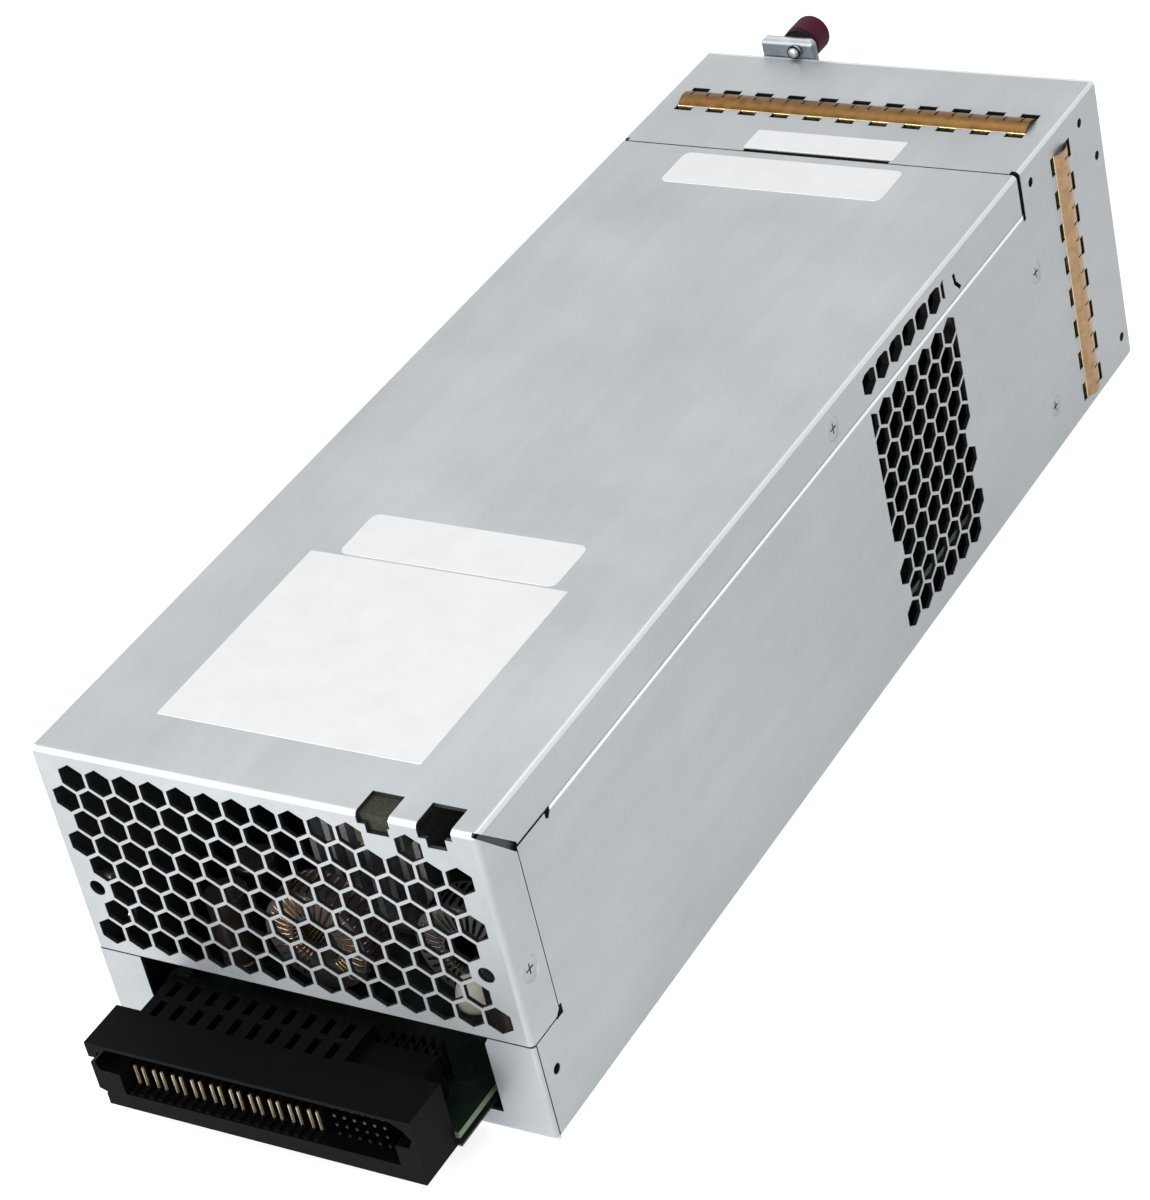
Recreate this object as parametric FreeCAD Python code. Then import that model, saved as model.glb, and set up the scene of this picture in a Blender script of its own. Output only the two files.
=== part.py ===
# Hot swap server power supply: a bent sheet-metal module with a blade connector at one end
# and fans, mains inlet and a hinged latch lever at the other. Millimetres.
# X runs across the module, Y from the connector end to the exterior end, Z up from the floor.
import FreeCAD, Part
import math
import os

V = FreeCAD.Vector
os.makedirs("parts", exist_ok=True)

# Sheet-metal body
body_width = 112.9
body_height = 82.1
body_length = 312.0
sheet = 1.0
bend_inside = 0.3
seam_gap = 0.35
bend_radius = sheet + bend_inside
half_width = body_width / 2

# Perforation: hexagonal holes on a triangular lattice, points up
hex_flats = 6.35
hex_pitch = 7.144
hex_row = hex_pitch * math.sqrt(3) / 2
hex_point = hex_flats / math.sqrt(3)

# Bent cover: connector-end grille, top and side flanges
collar_length = 49.0
grille_foot = 26.3
grille_margin = 9.55
grille_drop = 6.8
flange_depth = 11.2
flange_drop = 11.2
key_notch_depth = 7.3
corner_hole_radius = 2.0

# Tray: connector lip, side vent and exterior collar
lip_gap = 0.4
port_left_margin = 11.45
port_right_margin = 12.25
port_floor = 5.1
vent_columns = 6
vent_setback = 84.3
vent_drop = 17.0
vent_foot = 6.0
tooling_hole_radius = 1.25

# Finger-strip gaskets
finger_pitch = 4.7625
gasket_span = 7.6
gasket_rise = 1.5
gasket_stock = 0.2
gasket_tab = 4.8
gasket_slot = 2.15
gasket_setback = 25.2
side_gasket_setback = 24.2
side_gasket_drop = 1.12

# Blade connector
connector_reach = 24.4
shroud_depth = 12.4
shroud_left_wall = 8.6
shroud_right_wall = 10.0
shroud_middle = -1.95
shroud_floor = 5.4
shroud_height = 17.3
cavity_depth = 10.4
contact_pitch = 5.08
contact_pairs = 10
blade_stock = 0.8
blade_height = 5.2
blade_gap = 2.1
signal_pitch = 2.54
signal_columns = 6
signal_rows = 4
pin_side = 0.64

# Board stack
board_top = 9.1
board_stock = 1.6
board_margin = 5.0
board_setback = 20.0
insulator_stock = 0.5
standoff_radius = 3.0

# Exterior end
panel_setback = 0.6
bulkhead_setback = 42.0
fan_gap = 1.3
fan_depth = 28.0
fan_blade_gap = 0.7
axle_radius = 1.5
running_gap = 0.05
inlet_z = 26.0
inlet_width = 31.0
inlet_height = 23.4
inlet_depth = 19.0

# Latch lever and captive thumbscrew
lever_margin = 16.85
lever_width = 15.8
lever_rise = 5.1
lever_gap = 0.4
tab_height = 14.0
tab_depth = 2.0
tab_round = 1.8
pivot_reach = 6.0
pivot_z = 11.0
pivot_radius = 1.25
screw_offset = 2.5
screw_rise = 2.2
pull_travel = 1.1
collar_radius = 4.9
knob_radius = 5.05
knob_reach = 11.2

# Screws
head_radius = 2.7
dimple_radius = 3.1
shank_radius = 1.5
shank_clearance = 0.1

# Places that follow from the sizes above
inner = half_width - sheet
roof = body_height - sheet
cover_length = body_length - collar_length
collar_start = cover_length + 0.5
lip_top = grille_foot - lip_gap
flange_foot = body_height - flange_drop
grille_top_row = body_height - grille_drop
grille_first_column = grille_margin - half_width
grille_columns = int((body_width - 2 * grille_margin) / hex_pitch) + 1
grille_rows = int((grille_top_row - grille_foot - hex_point) / hex_row) + 1
port_left = port_left_margin - half_width
port_right = half_width - port_right_margin
vent_near = cover_length - vent_setback
vent_top_row = body_height - vent_drop
vent_rows = int((vent_top_row - vent_foot) / hex_row) + 1
top_gasket_y = body_length - gasket_setback
side_gasket_y = body_length - side_gasket_setback
side_gasket_z = body_height / 2 - side_gasket_drop
top_gasket_tabs = int((body_width - 4.0) / (2 * finger_pitch))
side_gasket_tabs = int((body_height - 2.0) / (2 * finger_pitch))
shroud_top = shroud_floor + shroud_height
contacts_width = contact_pairs * contact_pitch + 1.8 + (signal_columns - 1) * signal_pitch
shroud_width = shroud_left_wall + contacts_width + shroud_right_wall
bulkhead_y = body_length - bulkhead_setback
board_end = bulkhead_y - board_setback
board_floor = board_top - board_stock
panel_back = body_length - panel_setback - sheet
panel_face = body_length - panel_setback
lever_face = body_length + lever_gap
fan_size = (roof - sheet - 3 * fan_gap) / 2
fan_step = fan_size + fan_gap
fan_low_z = sheet + fan_gap + fan_size / 2
fan_x = inner - sheet - 0.95 - fan_size / 2
fan_bore_radius = fan_size / 2 - 0.8
fan_screw_pitch = fan_size - 6.0
rotor_radius = fan_bore_radius - fan_blade_gap
lever_left = lever_margin - half_width
lever_right = lever_left + lever_width
lever_top = body_height + lever_rise
inlet_x = (lever_right + fan_x - fan_size / 2) / 2
pivot_y = body_length + pivot_reach
screw_x = (lever_left + lever_right) / 2 + screw_offset
screw_z = body_height + screw_rise
length_middle = (body_length + knob_reach - connector_reach) / 2


def block(x0, x1, y0, y1, z0, z1):
    return Part.makeBox(x1 - x0, y1 - y0, z1 - z0, V(x0, y0, z0))


def solid_of(points, direction):
    face = Part.Face(Part.makePolygon(points + [points[0]]))
    return face.extrude(direction)


def plate_x(outline, x0, x1):
    # outline holds (y, z) corners
    return solid_of([V(x0, y, z) for y, z in outline], V(x1 - x0, 0, 0))


def plate_y(outline, y0, y1):
    # outline holds (x, z) corners
    return solid_of([V(x, y0, z) for x, z in outline], V(0, y1 - y0, 0))


def plate_z(outline, z0, z1):
    # outline holds (x, y) corners
    return solid_of([V(x, y, z0) for x, y in outline], V(0, 0, z1 - z0))


def rod_x(y, z, radius, x0, x1):
    return Part.makeCylinder(radius, x1 - x0, V(x0, y, z), V(1, 0, 0))


def rod_y(x, z, radius, y0, y1):
    return Part.makeCylinder(radius, y1 - y0, V(x, y0, z), V(0, 1, 0))


def rod_z(x, y, radius, z0, z1):
    return Part.makeCylinder(radius, z1 - z0, V(x, y, z0), V(0, 0, 1))


def hexagon(u, v, point):
    corners = []
    for k in range(6):
        turn = math.radians(30 + 60 * k)
        corners.append((u + point * math.cos(turn), v + point * math.sin(turn)))
    return corners


def on_edge(edge, axis, value):
    return all(abs(getattr(vertex.Point, axis) - value) < 1e-4 for vertex in edge.Vertexes)


def round_edges(shape, radius, tests):
    # Rounds every edge that lies on all the planes of one of the tests
    chosen = []
    for edge in shape.Edges:
        if any(all(on_edge(edge, axis, value) for axis, value in test) for test in tests):
            chosen.append(edge)
    return shape.makeFillet(radius, chosen)


def long_edges(side, low, high):
    return [[("x", s * side), ("z", z)] for s in (1, -1) for z in (low, high)]


def slotted(shape, x, y, z):
    # Screw head's drive slot along X, open upwards from z
    return shape.cut(block(x - 2.0, x + 2.0, y - 0.35, y + 0.35, z, z + 2.0))


def mirrored(shape):
    return shape.mirror(V(0, 0, 0), V(1, 0, 0))


def join(shapes):
    joined = shapes[0].multiFuse(shapes[1:]) if len(shapes) > 1 else shapes[0]
    return joined.removeSplitter()


def save(node, shape):
    placed = shape.copy()
    placed.translate(V(-gasket_rise / 2, -length_middle, 0))
    placed.exportStep("parts/" + node + ".step")


# Screws of the cover's flanges and of the inner bulkhead, as (y, z) on the side walls
cover_screws = [(0.603 * cover_length, body_height - 6.7), (flange_depth / 2 + 0.3, grille_foot + 16.5)]
bulkhead_screws = [(bulkhead_y - 3.8, body_height - 29.6), (bulkhead_y - 3.8, 12.6)]


def dimple(y, z):
    # Countersunk seat through a side wall's full sheet
    slope = dimple_radius - 1.9
    seat = Part.makeCone(dimple_radius, dimple_radius - slope, sheet, V(half_width, y, z), V(-1, 0, 0))
    skim = rod_x(y, z, dimple_radius, half_width, half_width + 1)
    return seat.fuse(skim)


def side_screw(y, z, length):
    # Flat head seated in the dimple, below the wall's face, with a cross recess
    slope = (dimple_radius - 1.9) / sheet
    depth = (dimple_radius - head_radius) / slope
    face = half_width - depth
    head = Part.makeCone(head_radius, 1.9, sheet - depth, V(face, y, z), V(-1, 0, 0))
    shank = rod_x(y, z, shank_radius, half_width - sheet - length, half_width - sheet)
    screw = head.fuse(shank)
    for arm in (0, 45):
        recess = block(face - 0.5, face + 0.1, y - 1.4, y + 1.4, z - 0.26, z + 0.26)
        recess.rotate(V(face, y, z), V(1, 0, 0), 2 * arm)
        screw = screw.cut(recess)
    return screw


# ---- Cover: one sheet bent into grille, top and side flanges ----
cover_block = block(-half_width, half_width, 0, cover_length, grille_foot, body_height)
cover_block = round_edges(
    cover_block,
    bend_radius,
    [
        [("y", 0), ("z", body_height)],
        [("x", half_width), ("z", body_height)],
        [("x", -half_width), ("z", body_height)],
        [("x", half_width), ("y", 0)],
        [("x", -half_width), ("y", 0)],
    ],
)
cover_core = block(-inner, inner, sheet, cover_length + 1, grille_foot - 1, roof)
cover_core = round_edges(
    cover_core,
    bend_inside,
    [
        [("y", sheet), ("z", roof)],
        [("x", inner), ("z", roof)],
        [("x", -inner), ("z", roof)],
        [("x", inner), ("y", sheet)],
        [("x", -inner), ("y", sheet)],
    ],
)
top_cover = cover_block.cut(cover_core)

# Side walls are left to the tray except for the two flanges, which meet at a mitred corner
flange_window = [
    (flange_depth, grille_foot - 1),
    (cover_length + 1, grille_foot - 1),
    (cover_length + 1, flange_foot),
    (flange_depth, flange_foot),
]
mitre_slit = [
    (-0.3, body_height - 0.2),
    (0.9, body_height + 0.1),
    (flange_depth + 0.6, flange_foot + 0.6),
    (flange_depth + 0.6, flange_foot - 2.2),
]
flange_heel = [
    (flange_depth - 2.4, grille_foot - 1),
    (flange_depth + 1, grille_foot - 1),
    (flange_depth + 1, grille_foot + 2.2),
]
cover_cuts = []
for outline in (flange_window, mitre_slit, flange_heel):
    cutter = plate_x(outline, half_width - sheet - 0.4, half_width + 1)
    cover_cuts.append(cutter)
    cover_cuts.append(mirrored(cutter))

# Grille holes, with a round hole closing each end of one row
for row in range(grille_rows):
    z = grille_top_row - row * hex_row
    odd = row % 2
    first = -1 if odd else 0
    for column in range(grille_columns + odd):
        x = grille_first_column + (first / 2 + column) * hex_pitch
        beside_notch = row == 0 and column in (grille_columns - 3, grille_columns - 1)
        end_of_row = odd and column in (0, grille_columns)
        if beside_notch:
            continue
        if row == 5 and end_of_row:
            cover_cuts.append(rod_y(x, z, corner_hole_radius, -1, sheet + 1))
            continue
        cover_cuts.append(plate_y(hexagon(x, z, hex_point), -1, sheet + 1))

# Two key notches across the top bend, each with a stepped foot on the grille face
for left, step, shelf, right, foot, end_drop in (
    (half_width - 29.05, 1.8, half_width - 21.75, half_width - 21.15, 4.9, 2.8),
    (half_width - 14.45, 1.8, half_width - 7.95, half_width - 6.15, 5.5, 2.7),
):
    notch = [
        (left, body_height + 1),
        (left, body_height - foot + 2.2),
        (left + step, body_height - foot + 2.2),
        (left + step, body_height - foot),
        (shelf, body_height - foot),
        (shelf, body_height - end_drop),
        (right, body_height - end_drop),
        (right, body_height + 1),
    ]
    cover_cuts.append(plate_y(notch, -1, sheet + 0.5))
    cover_cuts.append(block(left, right, -1, key_notch_depth, roof - 0.5, body_height + 1))

# Row of clipped hexagons and a hooked slot in the right flange
flange_row_z = body_height - 5.7
flange_row_top = body_height - 3.0
flange_hexes = []
for k in range(7):
    y = vent_near - 1.3 + k * hex_pitch
    cell = plate_x(hexagon(y, flange_row_z, hex_point), half_width - 3, half_width + 1)
    clip = block(inner - 4, inner + 3, vent_near - 4.6, vent_near + 39.9, flange_foot - 1, flange_row_top)
    flange_hexes.append(cell.common(clip))
hook_y = vent_near + 44.7
hook_z = body_height - 4.9
hook_outline = [
    (hook_y, hook_z),
    (hook_y + 1.3, hook_z),
    (hook_y + 1.7, hook_z - 2.6),
    (hook_y + 3.8, hook_z - 4.9),
    (hook_y + 2.9, hook_z - 5.5),
    (hook_y + 0.5, hook_z - 2.9),
]
hook_slot = plate_x(hook_outline, half_width - 3, half_width + 1)
cover_cuts = cover_cuts + flange_hexes + [hook_slot]
for y, z in cover_screws:
    cover_cuts.append(dimple(y, z))
    cover_cuts.append(mirrored(dimple(y, z)))
top_cover = top_cover.cut(cover_cuts)
save("top_cover", top_cover)

# ---- Tray: floor, side walls, connector lip and the closed collar at the exterior end ----
wall_start = sheet + seam_gap
tray_outer = block(-half_width, half_width, wall_start, body_length, 0, body_height)
tray_core = block(-inner, inner, 0, body_length + 1, sheet, roof)
tray_outer = round_edges(tray_outer, bend_radius, long_edges(half_width, 0, body_height))
tray_core = round_edges(tray_core, bend_inside, long_edges(inner, sheet, roof))
tray = tray_outer.cut(tray_core)

shoulder = flange_foot - 0.2
open_top = block(-half_width - 1, half_width + 1, 0, collar_start, shoulder, body_height + 1)
tray = tray.cut(open_top)
tray_cuts = []
wall_in = half_width - 3
wall_out = half_width + 1
gap_foot = flange_foot - 2.2
corner_gap = block(wall_in + 0.9, wall_out, collar_start - 0.1, collar_start + 1.4, gap_foot, body_height + 1)
front_window = block(wall_in, wall_out, 0, flange_depth + 0.3, lip_top, body_height)
shoulder_gap = block(wall_in, wall_out, flange_depth, 24.2, flange_foot - 0.6, body_height)
low_relief = block(wall_in, wall_out, flange_depth - 1.6, flange_depth + 1.2, lip_top - 0.3, lip_top + 2.3)
relief_outline = [
    (22.6, flange_foot - 2.0),
    (23.6, flange_foot - 2.6),
    (24.6, flange_foot - 1.3),
    (24.6, flange_foot + 0.7),
    (22.6, flange_foot + 0.7),
]
high_relief = plate_x(relief_outline, wall_in, wall_out)
for cutter in (corner_gap, front_window, shoulder_gap):
    tray_cuts.append(cutter)
    tray_cuts.append(mirrored(cutter))
latch_slot = block(-20.3, 21.2, collar_start - 1, collar_start + 1.1, body_height - 3, body_height + 1)
tray_cuts.append(latch_slot)
tray = tray.cut(tray_cuts)

# Joggled upper wall: steps one sheet inward behind the cover's flanges
joggle_outline = [
    (wall_start, lip_top - 2.2),
    (flange_depth + 2.6, lip_top - 2.2),
    (flange_depth + 2.6, flange_foot - 2.0),
    (cover_length - 0.4, flange_foot - 1.4),
    (cover_length - 0.4, roof - 0.4),
    (wall_start, roof - 0.4),
]
joggle = plate_x(joggle_outline, half_width - 2 * sheet, half_width - sheet)
joggle = joggle.cut(flange_hexes + [hook_slot])
joggle_left = mirrored(plate_x(joggle_outline, half_width - 2 * sheet, half_width - sheet))

# Connector lip: folded up from the floor, with the port cut through it
lip_block = block(-half_width, half_width, 0, 14, 0, lip_top)
lip_block = round_edges(
    lip_block,
    0.9,
    [
        [("y", 0), ("z", 0)],
        [("x", half_width), ("y", 0)],
        [("x", -half_width), ("y", 0)],
    ],
)
lip_block = lip_block.cut(block(-half_width - 1, half_width + 1, sheet, 15, sheet, lip_top + 1))
lip_block = lip_block.cut(block(-half_width - 1, -half_width + 2, wall_start, 15, -1, sheet + 1))
lip_block = lip_block.cut(block(half_width - 2, half_width + 1, wall_start, 15, -1, sheet + 1))
port = [
    (port_left, port_floor),
    (port_right, port_floor),
    (port_right, lip_top - 1.6),
    (port_right + 1.6, lip_top + 1),
    (port_left, lip_top + 1),
]
lip_block = lip_block.cut(plate_y(port, -1, sheet + 1))
tray = join([tray, joggle, joggle_left, lip_block])

tray_holes = [low_relief, mirrored(low_relief), high_relief, mirrored(high_relief)]
for row in range(vent_rows):
    odd = row % 2
    z = vent_top_row - row * hex_row
    for column in range(vent_columns + 1):
        y = vent_near + (column - (0 if odd else 0.5)) * hex_pitch
        cell = plate_x(hexagon(y, z, hex_point), half_width - 1.5, half_width + 1)
        clipped_near = not odd and column == 0
        clipped_far = odd and column == vent_columns
        if clipped_near and row > 4 or clipped_far and row > 3:
            continue
        if clipped_near or clipped_far:
            window = block(half_width - 2, half_width + 2, vent_near - 3.3, vent_near + 42.6, 0, body_height)
            cell = cell.common(window)
        tray_holes.append(cell)
tooling_holes = [
    (body_length - 11.4, body_height - 6.0),
    (body_length - 4.0, body_height - 19.5),
    (body_length - 4.0, 7.8),
    (collar_start + 6.5, body_height - 5.8),
    (5.6, 15.7),
]
for y, z in tooling_holes:
    tooling = rod_x(y, z, tooling_hole_radius, half_width - sheet - 0.5, half_width + 1)
    tray_holes.append(tooling)
    tray_holes.append(mirrored(tooling))
for y, z in cover_screws:
    hole = rod_x(y, z, shank_radius + shank_clearance, half_width - 3, half_width)
    tray_holes.append(hole)
    tray_holes.append(mirrored(hole))
for y, z in bulkhead_screws:
    tray_holes.append(dimple(y, z))
    tray_holes.append(mirrored(dimple(y, z)))

top_tabs_x = [(k - (top_gasket_tabs - 1) / 2) * 2 * finger_pitch for k in range(top_gasket_tabs)]
side_foot = side_gasket_z - (side_gasket_tabs - 1) * finger_pitch
side_tabs_z = [side_foot + k * 2 * finger_pitch for k in range(side_gasket_tabs)]
slot_half = gasket_tab / 2 + 0.15
tab_inset = 0.45
slot_depth = gasket_slot + tab_inset
slot_middle = (gasket_span + gasket_slot - tab_inset) / 2
for x in top_tabs_x:
    for sign in (-1, 1):
        near = top_gasket_y + sign * slot_middle - slot_depth / 2
        slot = block(x - slot_half, x + slot_half, near, near + slot_depth, roof - 1, body_height + 1)
        tray_holes.append(slot)
for z in side_tabs_z:
    for sign in (-1, 1):
        near = side_gasket_y + sign * slot_middle - slot_depth / 2
        slot = block(inner - 1, wall_out, near, near + slot_depth, z - slot_half, z + slot_half)
        tray_holes.append(slot)
tray = tray.cut(tray_holes)
save("chassis_tray", tray)


# ---- Finger-strip gaskets: arched spring fingers whose tabs clasp the rib between the slots ----
def finger_strip(tabs):
    # Local frame: length along X, arch over Y, sheet face at Z = 0
    half = gasket_span / 2
    radius = (half * half + gasket_rise * gasket_rise) / (2 * gasket_rise)
    drop = radius - gasket_rise
    length = (tabs - 1) * 2 * finger_pitch + gasket_tab
    ring = Part.makeCylinder(radius, length, V(-length / 2, 0, -drop), V(1, 0, 0))
    ring = ring.cut(Part.makeCylinder(radius - gasket_stock, length, V(-length / 2, 0, -drop), V(1, 0, 0)))
    arch = ring.common(block(-length / 2, length / 2, -half - 1, half + 1, 0, gasket_rise + 1))
    slits = []
    for k in range(1 - tabs, tabs):
        x = k * finger_pitch
        slits.append(block(x - 0.22, x + 0.22, -0.6, half + 1, -1, gasket_rise + 1))
    arch = arch.cut(slits)
    pieces = [arch]
    under = -sheet - 0.3
    hook = [
        (half - 0.3, 0.06),
        (half - 0.08, 0.06),
        (half, -0.1),
        (half, under - gasket_stock),
        (half - 1.1, under - gasket_stock),
        (half - 1.1, under),
        (half - gasket_stock, under),
        (half - gasket_stock, -0.1),
    ]
    for k in range(tabs):
        x = (k - (tabs - 1) / 2) * 2 * finger_pitch
        far = plate_x(hook, x - gasket_tab / 2, x + gasket_tab / 2)
        near = far.mirror(V(0, 0, 0), V(0, 1, 0))
        pieces.append(near)
        middle_slit = block(x - 0.22, x + 0.22, -0.6, half + 2, -2, gasket_rise + 1)
        pieces.append(far.cut(middle_slit))
    return join(pieces)


gasket_top = finger_strip(top_gasket_tabs)
gasket_top.translate(V(0, top_gasket_y, body_height))
save("gasket_top", gasket_top)
gasket_side = finger_strip(side_gasket_tabs)
gasket_side.rotate(V(0, 0, 0), V(0, 1, 0), 90)
gasket_side.translate(V(half_width, side_gasket_y, side_gasket_z))
save("gasket_side", gasket_side)

# ---- Blade connector: shroud in front of the board, contact body standing on it ----
shroud_left = shroud_middle - shroud_width / 2
shroud_right = shroud_middle + shroud_width / 2
shroud_back = -connector_reach + shroud_depth
cavity_back = -connector_reach + cavity_depth
body_left = shroud_left + 6.6
body_right = shroud_right - 6.6
power_end = body_left + 2.6 + contact_pairs * contact_pitch
shroud_outline = [
    (shroud_left + 1.6, shroud_floor),
    (shroud_right, shroud_floor),
    (shroud_right, shroud_top),
    (shroud_left, shroud_top),
    (shroud_left, shroud_floor + 4.2),
    (shroud_left + 2.8, shroud_floor + 3.2),
    (shroud_left + 1.6, shroud_floor + 3.0),
]
key_groove = [
    (shroud_left - 0.1, shroud_floor + 13.3),
    (shroud_left + 2.9, shroud_floor + 13.3),
    (shroud_left + 2.9, shroud_floor + 12.9),
    (shroud_left - 0.1, shroud_floor + 11.6),
]
cavity = [
    (shroud_left + 7.2, shroud_floor + 4.2),
    (shroud_left + 7.2, shroud_floor + 9.8),
    (shroud_left + 1.9, shroud_floor + 9.8),
    (shroud_left + 1.2, shroud_floor + 12.2),
    (shroud_left + 2.6, shroud_top - 2.4),
    (shroud_left + 5.2, shroud_top - 0.9),
    (shroud_right - 5.4, shroud_top - 0.9),
    (shroud_right - 2.4, shroud_top - 2.6),
    (shroud_right - 0.6, shroud_floor + 12.4),
    (shroud_right - 1.9, shroud_floor + 9.8),
    (shroud_right - 5.4, shroud_floor + 9.8),
    (shroud_right - 5.4, shroud_floor + 4.2),
]
housing = plate_y(shroud_outline, -connector_reach, shroud_back)
housing = housing.cut(plate_y(cavity, -connector_reach - 1, cavity_back))
housing = housing.cut(plate_y(key_groove, -connector_reach - 1, shroud_back + 1))

first_pair = shroud_left + shroud_left_wall
pair_x = [first_pair + k * contact_pitch for k in range(contact_pairs)]
first_pin = first_pair + contact_pairs * contact_pitch + 1.8
signal_x = [first_pin + k * signal_pitch for k in range(signal_columns)]
signal_z = [shroud_floor + 5.0 + k * signal_pitch for k in range(signal_rows)]
blade_floor = shroud_floor + 4.5
contact_tip = -connector_reach + 3.4
contact_root = shroud_back + 1.5

# Cavity floor ribs, two to each contact
ribs = []
for k in range(2 * contact_pairs):
    x = first_pair + 1.4 + (k - 0.5) * signal_pitch
    rib = block(x - 0.5, x + 0.5, 0.4 - connector_reach, cavity_back, shroud_floor + 4.0, shroud_floor + 4.7)
    ribs.append(rib)
power_body = block(body_left, power_end, shroud_back, 0.4, board_top, shroud_top)
signal_body = block(power_end, body_right, shroud_back, -3.0, board_top, shroud_top - 2.2)
rear_ribs = []
for x in pair_x:
    rear_ribs.append(rod_z(x + 1.4, 0.4, 1.7, board_top, shroud_top - 1.6))
housing = join([housing, power_body, signal_body] + ribs + rear_ribs)

def square_bar(x, z, y0, y1):
    return block(x - pin_side / 2, x + pin_side / 2, y0, y1, z - pin_side / 2, z + pin_side / 2)


housing_cuts = []
for x in pair_x:
    for y in (shroud_back - 0.6, shroud_back + 5.8):
        housing_cuts.append(block(x + 0.5, x + 2.6, y, y + 5.0, shroud_top - 3.2, shroud_top + 1))
    for offset in (0, blade_gap):
        left = x + offset - blade_stock / 2
        right = left + blade_stock
        seat = block(left, right, contact_tip, contact_root, blade_floor, blade_floor + blade_height)
        housing_cuts.append(seat)
for x in signal_x:
    for z in signal_z:
        housing_cuts.append(square_bar(x, z, cavity_back - 1, -2.0))
connector_housing = housing.cut(housing_cuts)
save("connector_housing", connector_housing)

# Paired power blades with bevelled tips
blades = []
for x in pair_x:
    for offset in (0, blade_gap):
        left = x + offset - blade_stock / 2
        outline = [
            (left, contact_root),
            (left, contact_tip + 0.8),
            (left + 0.25, contact_tip),
            (left + blade_stock - 0.25, contact_tip),
            (left + blade_stock, contact_tip + 0.8),
            (left + blade_stock, contact_root),
        ]
        blades.append(plate_z(outline, blade_floor, blade_floor + blade_height))
save("power_blades", Part.makeCompound(blades))

# Signal pins: straight through the body, then bent down into the board
pins = []
for x in signal_x:
    for row, z in enumerate(signal_z):
        bend_y = -1.2 + row * 1.6
        tail_middle = bend_y - pin_side / 2
        tail = square_bar(x, z, bend_y - pin_side, bend_y)
        drop = z - board_floor + 0.6
        tail = tail.fuse(block(x - pin_side / 2, x + pin_side / 2, bend_y - pin_side, bend_y, z - drop, z))
        pins.append(join([square_bar(x, z, contact_tip, tail_middle), tail]))
save("signal_pins", Part.makeCompound(pins))

# ---- Main board on standoffs, insulating sheet beneath it ----
board_half = half_width - board_margin
board_outline = [
    (body_left - 4.0, shroud_back + 0.1),
    (shroud_right + 1.0, shroud_back + 0.1),
    (shroud_right + 1.0, 4.0),
    (board_half, 4.0),
    (board_half, board_end),
    (-board_half, board_end),
    (-board_half, 4.0),
    (body_left - 4.0, 4.0),
]
standoff_spots = []
for x in (5.0 - board_half, board_half - 5.0):
    for y in (11.0, board_end * 0.36, board_end * 0.68, board_end - 8.0):
        standoff_spots.append((x, y))
main_board = plate_z(board_outline, board_floor, board_top)
sheet_floor = board_floor - 1.8 - insulator_stock
insulator = plate_z(board_outline, sheet_floor, sheet_floor + insulator_stock)
standoffs = []
board_screws = []
board_holes = []
sheet_holes = []
for x, y in standoff_spots:
    standoffs.append(rod_z(x, y, standoff_radius, sheet, board_floor))
    board_holes.append(rod_z(x, y, 1.7, board_floor - 1, board_top + 1))
    sheet_holes.append(rod_z(x, y, standoff_radius + 0.2, sheet_floor - 1, sheet_floor + 1))
    head = slotted(rod_z(x, y, 2.8, board_top, board_top + 1.9), x, y, board_top + 1.1)
    neck = rod_z(x, y, 1.6, board_floor, board_top)
    board_screws.append(head.fuse(neck))
for x in signal_x:
    for row in range(signal_rows):
        y = -1.2 + row * 1.6 - pin_side / 2
        board_holes.append(block(x - 0.36, x + 0.36, y - 0.36, y + 0.36, board_floor - 1, board_top + 1))
save("main_board", main_board.cut(board_holes))
save("insulator_sheet", insulator.cut(sheet_holes))
save("board_standoffs", Part.makeCompound(standoffs))
save("board_screws", Part.makeCompound(board_screws))


# ---- Power parts on the board ----
def can(x, y, radius, height):
    body = rod_z(x, y, radius, board_top, board_top + height)
    groove = Part.makeTorus(radius + 0.25, 0.7, V(x, y, board_top + height * 0.12), V(0, 0, 1))
    rim = [edge for edge in body.Edges if on_edge(edge, "z", board_top + height)]
    return body.makeFillet(0.6, [rim[0]]).cut(groove)


def comb(x0, x1, y0, y1, height, fins):
    # Heat sink: base wall with upright fins
    base = block(x0, x1, y0, y1, board_top, board_top + 3.5)
    pitch = (x1 - x0 - 1.6) / (fins - 1)
    walls = []
    for k in range(fins):
        left = x0 + k * pitch
        walls.append(block(left, left + 1.6, y0, y1, board_top, board_top + height))
    return join([base] + walls)


def toroid(x, y, outer, bore, width):
    # Ring core standing on edge, its axis along Y
    z = board_top + outer
    ring = rod_y(x, z, outer, y - width / 2, y + width / 2)
    return ring.cut(rod_y(x, z, bore, y - width, y + width))


def winding(x, y, outer, bore, width, turns):
    # Wire loops round the ring's section, left open at the foot
    z = board_top + outer
    loops = []
    wire = 0.8
    for k in range(turns):
        turn = -60 + 300.0 * k / (turns - 1)
        half = width / 2 + wire
        loop = block(bore - 2 * wire - 0.1, outer + 2 * wire - 0.3, -half, half, -wire, wire)
        loop = loop.cut(block(bore - 0.1, outer + 0.1, -width / 2, width / 2, -2, 2))
        loop.rotate(V(0, 0, 0), V(0, 1, 0), -turn)
        loop.translate(V(x, y, z))
        loops.append(loop)
    return Part.makeCompound(loops)


def across(share):
    return share * board_half


def along(share):
    return share * board_end


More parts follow.
